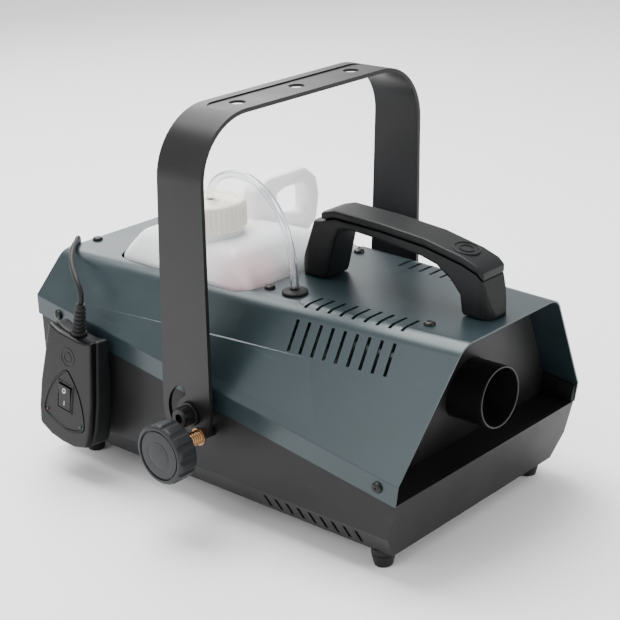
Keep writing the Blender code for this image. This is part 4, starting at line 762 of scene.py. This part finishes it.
def placeKnobs():
    pattern = makeKnob()
    for name, side in (("left", -1), ("right", 1)):
        piece = copyPiece(pattern, f"lockingKnob-{name}")
        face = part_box(f"knob_{name}")[1 if side > 0 else 0].x
        centre = Vector(joints[f"knob_{name}_turn"]["pos_m"])
        putAt(piece, standOn((face, centre.y, centre.z), (side, 0, 0)))
        finishPiece(piece, "knobPlastic", f"knob_{name}", 38)
        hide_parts(f"knob_{name}")
        makeStud(side, name)
        makePivot(side, name)
    bpy.data.objects.remove(pattern, do_unlink=True)


placeKnobs()
print("knobs, studs and pivots made")

# Nozzle, jet, feet and grommet

nozzle = {"wall": .0014, "lip": .0006}


def makeNozzle():
    low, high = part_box("nozzle_tube")
    r, length = (high.x - low.x) / 2, high.y - low.y
    w, lip = nozzle["wall"], nozzle["lip"]
    rings = [(r, -length), (r, -.0030), (r - .0001, -.0012)] + arcRings(r - lip - .0001, -lip, lip, 0, 90, 4)
    rings += arcRings(r - w + lip - .0001, -lip, lip, 90, 180, 4)
    rings += [(r - w, -.0030), (r - w, -length), (r, -length)]
    tube = turnPiece("nozzleTube", rings, 96, loop=True)
    putAt(tube, standOn((0, low.y, (low.z + high.z) / 2), (0, -1, 0)))
    finishPiece(tube, "blackSteel", "housing", 40)
    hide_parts("nozzle_tube")
    low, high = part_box("vapour_jet")
    r, length = (high.x - low.x) / 2, high.y - low.y
    rings = [(.0010, 0), (r, 0), (r, length * .28), (r * .66, length * .30), (r * .64, length * .64),
             (r * .42, length * .96), (r * .36, length), (.0010, length), (.0010, 0)]
    jet = turnPiece("vapourJet", rings, 36, loop=True)
    putAt(jet, standOn(((low.x + high.x) / 2, high.y, (low.z + high.z) / 2), (0, -1, 0)))
    finishPiece(jet, "brass", "housing", 40)
    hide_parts("vapour_jet")


def makeFeet():
    for end in ("front", "rear"):
        for side in ("left", "right"):
            node = f"foot_{end}_{side}"
            low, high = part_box(node)
            r, h = (high.x - low.x) / 2, high.z - low.z
            rings = [(r * .30, .0035), (r * .34, .0006), (r * .40, 0), (r * .68, 0)]
            rings += arcRings(r * .78 - .0010, .0010, .0010, -90, -10, 3)
            rings += [(r * .93, h * .45), (r * .97, h * .62), (r * .92, h * .64), (r, h * .70), (r, h)]
            foot = turnPiece(f"foot-{end}-{side}", rings, 40)
            putAt(foot, Matrix.Translation(((low.x + high.x) / 2, (low.y + high.y) / 2, low.z)))
            finishPiece(foot, "rubber", "housing", 40)
            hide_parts(node)


def makeGrommet():
    low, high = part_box("tube_grommet")
    r, base = (high.x - low.x) / 2, high.z - .0030
    rings = [(.0033, -.0034), (r - .0010, -.0034), (r - .0010, -.0015), (r - .0025, -.0015),
             (r - .0025, .0003), (r - .0003, .0003)]
    rings += arcRings(r - .0012, .0012, .0012, -30, 70, 4)
    rings += [(r - .0030, .0027), (.0052, .0030), (.0040, .0030), (.0033, .0022), (.0033, -.0034)]
    grommet = turnPiece("tubeGrommet", rings, 56, loop=True)
    putAt(grommet, Matrix.Translation(((low.x + high.x) / 2, (low.y + high.y) / 2, base)))
    finishPiece(grommet, "rubber", "housing", 40)
    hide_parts("tube_grommet")


makeNozzle()
makeFeet()
makeGrommet()
print("nozzle, feet and grommet made")

# Tank cap and clear tube

cap = {"ribs": 44, "ribProud": .0006, "bore": .0238, "tubeHole": .0033}


def makeCap():
    low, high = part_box("tank_cap")
    r, h = (high.x - low.x) / 2 - cap["ribProud"], high.z - low.z
    rings = [(cap["bore"], 0), (r - .0004, 0), (r, .0006), (r, .0016), (r, h - .0046), (r - .0003, h - .0034)]
    rings += arcRings(r - .0030, h - .0028, .0028, 0, 90, 5)
    rings += [(r - .0062, h), (r - .0072, h - .0012), (.0125, h - .0014), (.0112, h - .0010),
              (.0070, h - .0010), (.0056, h), (.0040, h), (cap["tubeHole"], h - .0006),
              (cap["tubeHole"], h - .0040),
              (cap["bore"], h - .0040), (cap["bore"], 0)]
    piece = turnPiece("tankCap", rings, cap["ribs"] * 3, loop=True)
    step = 2 * math.pi / (cap["ribs"] * 3)

    def onRib(centre, normal):
        along = math.atan2(centre.y, centre.x) / step
        return (abs(normal.z) < .1 and math.hypot(centre.x, centre.y) > r - .001 and centre.z > .0016
                and int(along + 900) % 3 == 0)

    selectFaces(piece, onRib)
    bpy.ops.mesh.extrude_region_shrink_fatten(TRANSFORM_OT_shrink_fatten={"value": cap["ribProud"]})
    bpy.ops.object.mode_set(mode="OBJECT")
    roundEdges(piece, .0002, 1, 40)
    centre = joints["cap_turn"]["pos_m"]
    putAt(piece, Matrix.Translation((centre[0], centre[1], low.z)))
    finishPiece(piece, "capPlastic", "tank_cap", 30)
    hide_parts("tank_cap")


tube = {"radius": .0030, "wall": .0008, "archHeight": .044, "archSteps": 28, "foot": .110}


def tubeArch(start, end, steps):
    # a loop that leaves one end upright, peaks and comes down into the other
    lift = Vector((0, 0, tube["archHeight"]))
    points = []
    for k in range(steps + 1):
        t = k / steps
        points.append((1 - t) ** 3 * start + 3 * (1 - t) ** 2 * t * (start + lift * .62)
                      + 3 * (1 - t) * t * t * (end + lift * 2.15) + t ** 3 * end)
    return points


def makeTube():
    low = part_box("fluid_tube")[0]
    neck = Vector((joints["cap_turn"]["pos_m"][0], joints["cap_turn"]["pos_m"][1], 0))
    grommetLow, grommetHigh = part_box("tube_grommet")
    down = (grommetLow + grommetHigh) / 2
    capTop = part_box("tank_cap")[1].z
    deckTop = grommetHigh.z - .0030
    points = [Vector((neck.x, neck.y, tube["foot"])), Vector((neck.x, neck.y, .154))]
    points += tubeArch(Vector((neck.x, neck.y, capTop + .002)), Vector((down.x, down.y, deckTop + .006)),
                       tube["archSteps"])
    points += [Vector((down.x, down.y, deckTop - .010)), Vector((down.x, down.y, .114)),
               Vector((down.x, down.y, low.z if low.z > .08 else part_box("pump_body")[1].z + .0003))]
    curve = bpy.data.curves.new("clearTube", "CURVE")
    curve.dimensions = "3D"
    curve.bevel_depth = tube["radius"]
    curve.bevel_resolution = 5
    spline = curve.splines.new("POLY")
    spline.points.add(len(points) - 1)
    for knot, point in zip(spline.points, points):
        knot.co = (*point, 1)
    piece = bpy.data.objects.new("clearTube", curve)
    bpy.context.scene.collection.objects.link(piece)
    makeActive(piece)
    bpy.ops.object.convert(target="MESH")
    piece = bpy.context.active_object
    wall = piece.modifiers.new("wall", "SOLIDIFY")
    wall.thickness = tube["wall"]
    wall.offset = -1
    applyAll(piece)
    finishPiece(piece, "clearTube", "housing", 60)
    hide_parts("fluid_tube")


makeCap()
makeTube()
print("tank cap and tube made")

# Handle's plain ring near its front end

emblem = {"radius": .0098, "width": .0012, "proud": .0006, "fromFront": .0225, "above": .05}


def makeRing(name, radius, width, proud, place, finish, body):
    inner, half = radius - width, width / 2
    rings = [(radius, -.0016), (radius, proud * .5), (radius - half * .5, proud), (inner + half * .5, proud),
             (inner, proud * .5), (inner, -.0016), (radius, -.0016)]
    ring = turnPiece(name, rings, 56, loop=True)
    putAt(ring, place)
    return finishPiece(ring, finish, body, 50)


def onSurface(name, point, direction):
    # where a ray from a point meets a piece, and the surface's normal there
    piece = bpy.data.objects[name]
    _, where, normal, _ = piece.ray_cast(Vector(point), Vector(direction))
    return where, normal


capLow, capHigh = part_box("handle_cap")
overRing = (0, capLow.y + emblem["fromFront"], capHigh.z + emblem["above"])
ringPoint, ringNormal = onSurface("handleCap", overRing, (0, 0, -1))
makeRing("handleRing", emblem["radius"], emblem["width"], emblem["proud"], standOn(ringPoint, ringNormal),
         "blackPlastic", "housing")
makeRing("handleRingInner", emblem["radius"] * .55, emblem["width"] * .8, emblem["proud"],
         standOn(ringPoint, ringNormal), "blackPlastic", "housing")
print("handle finished")

# Remote: raised bezel, rocker with its marks, lamps, ring and ribbed relief

remote = {"lip": .0011, "dish": .0009, "ringUp": .0255, "ringRadius": .0078, "lampAcross": .0190,
          "lampUp": -.0252, "lampRadius": .0013, "bezelProud": .0006,
          "offMark": (.00170, 0, -.0020), "onMark": (.00062, 0, -.0125), "offLean": 6.4, "onLean": .6}


def onRemote(out, along, up, lean=0):
    # local Z looks out of the remote's face, local X up it
    face = Matrix.Rotation(math.radians(-90 + lean), 4, "Y")
    return remoteAxes @ Matrix.Translation((-out, along, up)) @ face


def makeBezel():
    piece = refinePiece("remote_bezel", "remoteBezel", 0)
    outward = (remoteAxes.to_3x3() @ Vector((-1, 0, 0))).normalized()
    selectFaces(piece, lambda centre, normal: normal.dot(outward) > .98
                and (remoteAxes.inverted() @ centre).x < 0)
    bpy.ops.mesh.inset(thickness=remote["lip"], depth=0)
    bpy.ops.mesh.inset(thickness=.0004, depth=-remote["dish"])
    bpy.ops.object.mode_set(mode="OBJECT")
    roundEdges(piece, .00025, 2, 30)
    finishPiece(piece, "glossBlack", "housing", 40)


def makeRocker():
    piece = refinePiece("remote_rocker", "remoteRocker", .0005, 2, 20)
    finishPiece(piece, "glossBlack", "remote_rocker", 40)
    makeRing("rockerOff", .0019, .0006, .00012, onRemote(*remote["offMark"], remote["offLean"]), "whiteMark",
             "remote_rocker")
    deselectAll()
    bpy.ops.mesh.primitive_cube_add(size=1, location=(0, 0, 0), scale=(.0036, .0006, .0006))
    bar = bpy.context.active_object
    bar.name = "rockerOn"
    bpy.ops.object.transform_apply(location=True, rotation=True, scale=True)
    roundEdges(bar, .0001, 1, 30)
    putAt(bar, onRemote(*remote["onMark"], remote["onLean"]))
    finishPiece(bar, "whiteMark", "remote_rocker", 30)


def makeRemoteLamps():
    r = remote["lampRadius"]
    for name, side, finish in (("Ready", -1, "lampGreen"), ("Power", 1, "lampRed")):
        rings = [(r, -.0010)] + arcRings(0, 0, r, 0, 75, 5)
        lamp = turnPiece(f"remoteLamp{name}", rings, 24)
        putAt(lamp, onRemote(remote["bezelProud"] - remote["dish"], side * remote["lampAcross"],
                             remote["lampUp"]))
        finishPiece(lamp, finish, "housing", 60)


relief = {"foot": .0066, "low": .0052, "high": .0043, "end": .0240, "ribs": 6}


def makeRelief():
    foot = remoteAxes @ Vector(cord["reliefFoot"])
    upwards = (remoteAxes.to_3x3() @ Vector((0, 0, 1))).normalized()
    rings = [(.0022, 0), (relief["foot"], 0), (relief["foot"], .0016), (relief["foot"] - .0005, .0021),
             (relief["low"] - .0010, .0022)]
    span = (relief["end"] - .0050) / relief["ribs"]
    for k in range(relief["ribs"]):
        share = k / (relief["ribs"] - 1)
        outer = relief["low"] + (relief["high"] - relief["low"]) * share
        start = .0030 + k * span
        rings += [(outer - .0012, start), (outer - .0002, start + span * .16), (outer, start + span * .24),
                  (outer, start + span * .56), (outer - .0002, start + span * .64),
                  (outer - .0012, start + span * .8)]
    rings += [(.0030, relief["end"] - .0012), (.0038, relief["end"] - .0008), (.0036, relief["end"]),
              (.0023, relief["end"])]
    piece = turnPiece("cordRelief", rings, 36)
    putAt(piece, standOn(foot, upwards))
    finishPiece(piece, "rubber", "housing", 40)
    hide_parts("remote_strain_relief")


makeBezel()
makeRocker()
makeRemoteLamps()
makeRelief()
makeRing("remoteRing", remote["ringRadius"], .0009, .0003, onRemote(0, 0, remote["ringUp"]), "glossBlack",
         "housing")
makeRing("remoteRingInner", remote["ringRadius"] * .55, .0008, .0003, onRemote(0, 0, remote["ringUp"]),
         "glossBlack", "housing")
print("remote finished")

# Rear: fuse holder, remote socket and plug, and the inlet's pins


def makeRearFittings():
    low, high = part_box("fuse_holder")
    r, top = (high.x - low.x) / 2, .011
    rings = [(r * .72, -.020), (r * .80, 0), (r, 0), (r, .0072)]
    rings += arcRings(r - .0012, .0098 - .0012, .0012, 0, 80, 3)
    rings += [(r * .72, .0102), (r * .70, top), (.0010, top)]
    fuse = turnPiece("fuseHolder", rings, 48)
    deselectAll()
    bpy.ops.mesh.primitive_cube_add(size=1, location=(0, 0, top), scale=(.0090, .0014, .0024))
    coinSlot = bpy.context.active_object
    bpy.ops.object.transform_apply(location=True, rotation=True, scale=True)
    cutWith(fuse, coinSlot)
    putAt(fuse, standOn(((low.x + high.x) / 2, high.y - top, (low.z + high.z) / 2), (0, 1, 0)))
    finishPiece(fuse, "blackPlastic", "housing", 35)
    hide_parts("fuse_holder")

    low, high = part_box("remote_socket")
    r, top = (high.x - low.x) / 2, .003
    inner = r / 1.35
    rings = [(inner, -.012), (inner, 0), (r, 0), (r, top - .0006), (r - .0006, top), (inner * .70, top),
             (inner * .62, top - .0006), (inner * .62, -.0088), (.0010, -.0088)]
    socket = turnPiece("remoteSocket", rings, 48)
    putAt(socket, standOn(((low.x + high.x) / 2, high.y - top, (low.z + high.z) / 2), (0, 1, 0)))
    finishPiece(socket, "steel", "housing", 35)
    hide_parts("remote_socket")

    low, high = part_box("remote_plug")
    rings = [(.0045, -.008), (.0045, 0), (.0070, 0), (.0074, .0004)]
    for k in range(5):
        rings += [(.0074, .0010 + k * .0020), (.0069, .0014 + k * .0020), (.0069, .0022 + k * .0020),
                  (.0074, .0026 + k * .0020)]
    rings += [(.0072, .0116), (.0066, .0130), (.0044, .0138), (.0041, .0160), (.0034, .0170), (.0040, .0180),
              (.0038, .0200), (.0032, .0210), (.0036, .0220), (.0034, .0240), (.0030, .0256), (.0023, .0260)]
    plug = turnPiece("remotePlug", rings, 48)
    putAt(plug, standOn(((low.x + high.x) / 2, high.y - .026, (low.z + high.z) / 2), (0, 1, 0)))
    finishPiece(plug, "blackPlastic", "housing", 40)
    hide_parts("remote_plug")

    low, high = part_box("mains_inlet")
    middle = (low + high) / 2
    for k, (across, rise) in enumerate(((-.006, -.001), (.006, -.001), (0, .003))):
        deselectAll()
        bpy.ops.mesh.primitive_cube_add(size=1, location=(middle.x + across, high.y - .0105, middle.z + rise),
                                        scale=(.0023, .0130, .0043))
        pin = bpy.context.active_object
        pin.name = f"inletPin-{k + 1}"
        bpy.ops.object.transform_apply(location=True, rotation=True, scale=True)
        roundEdges(pin, .0006, 2, 30)
        finishPiece(pin, "steel", "housing", 35)
    return plug


plugPiece = makeRearFittings()
print("rear fittings made")
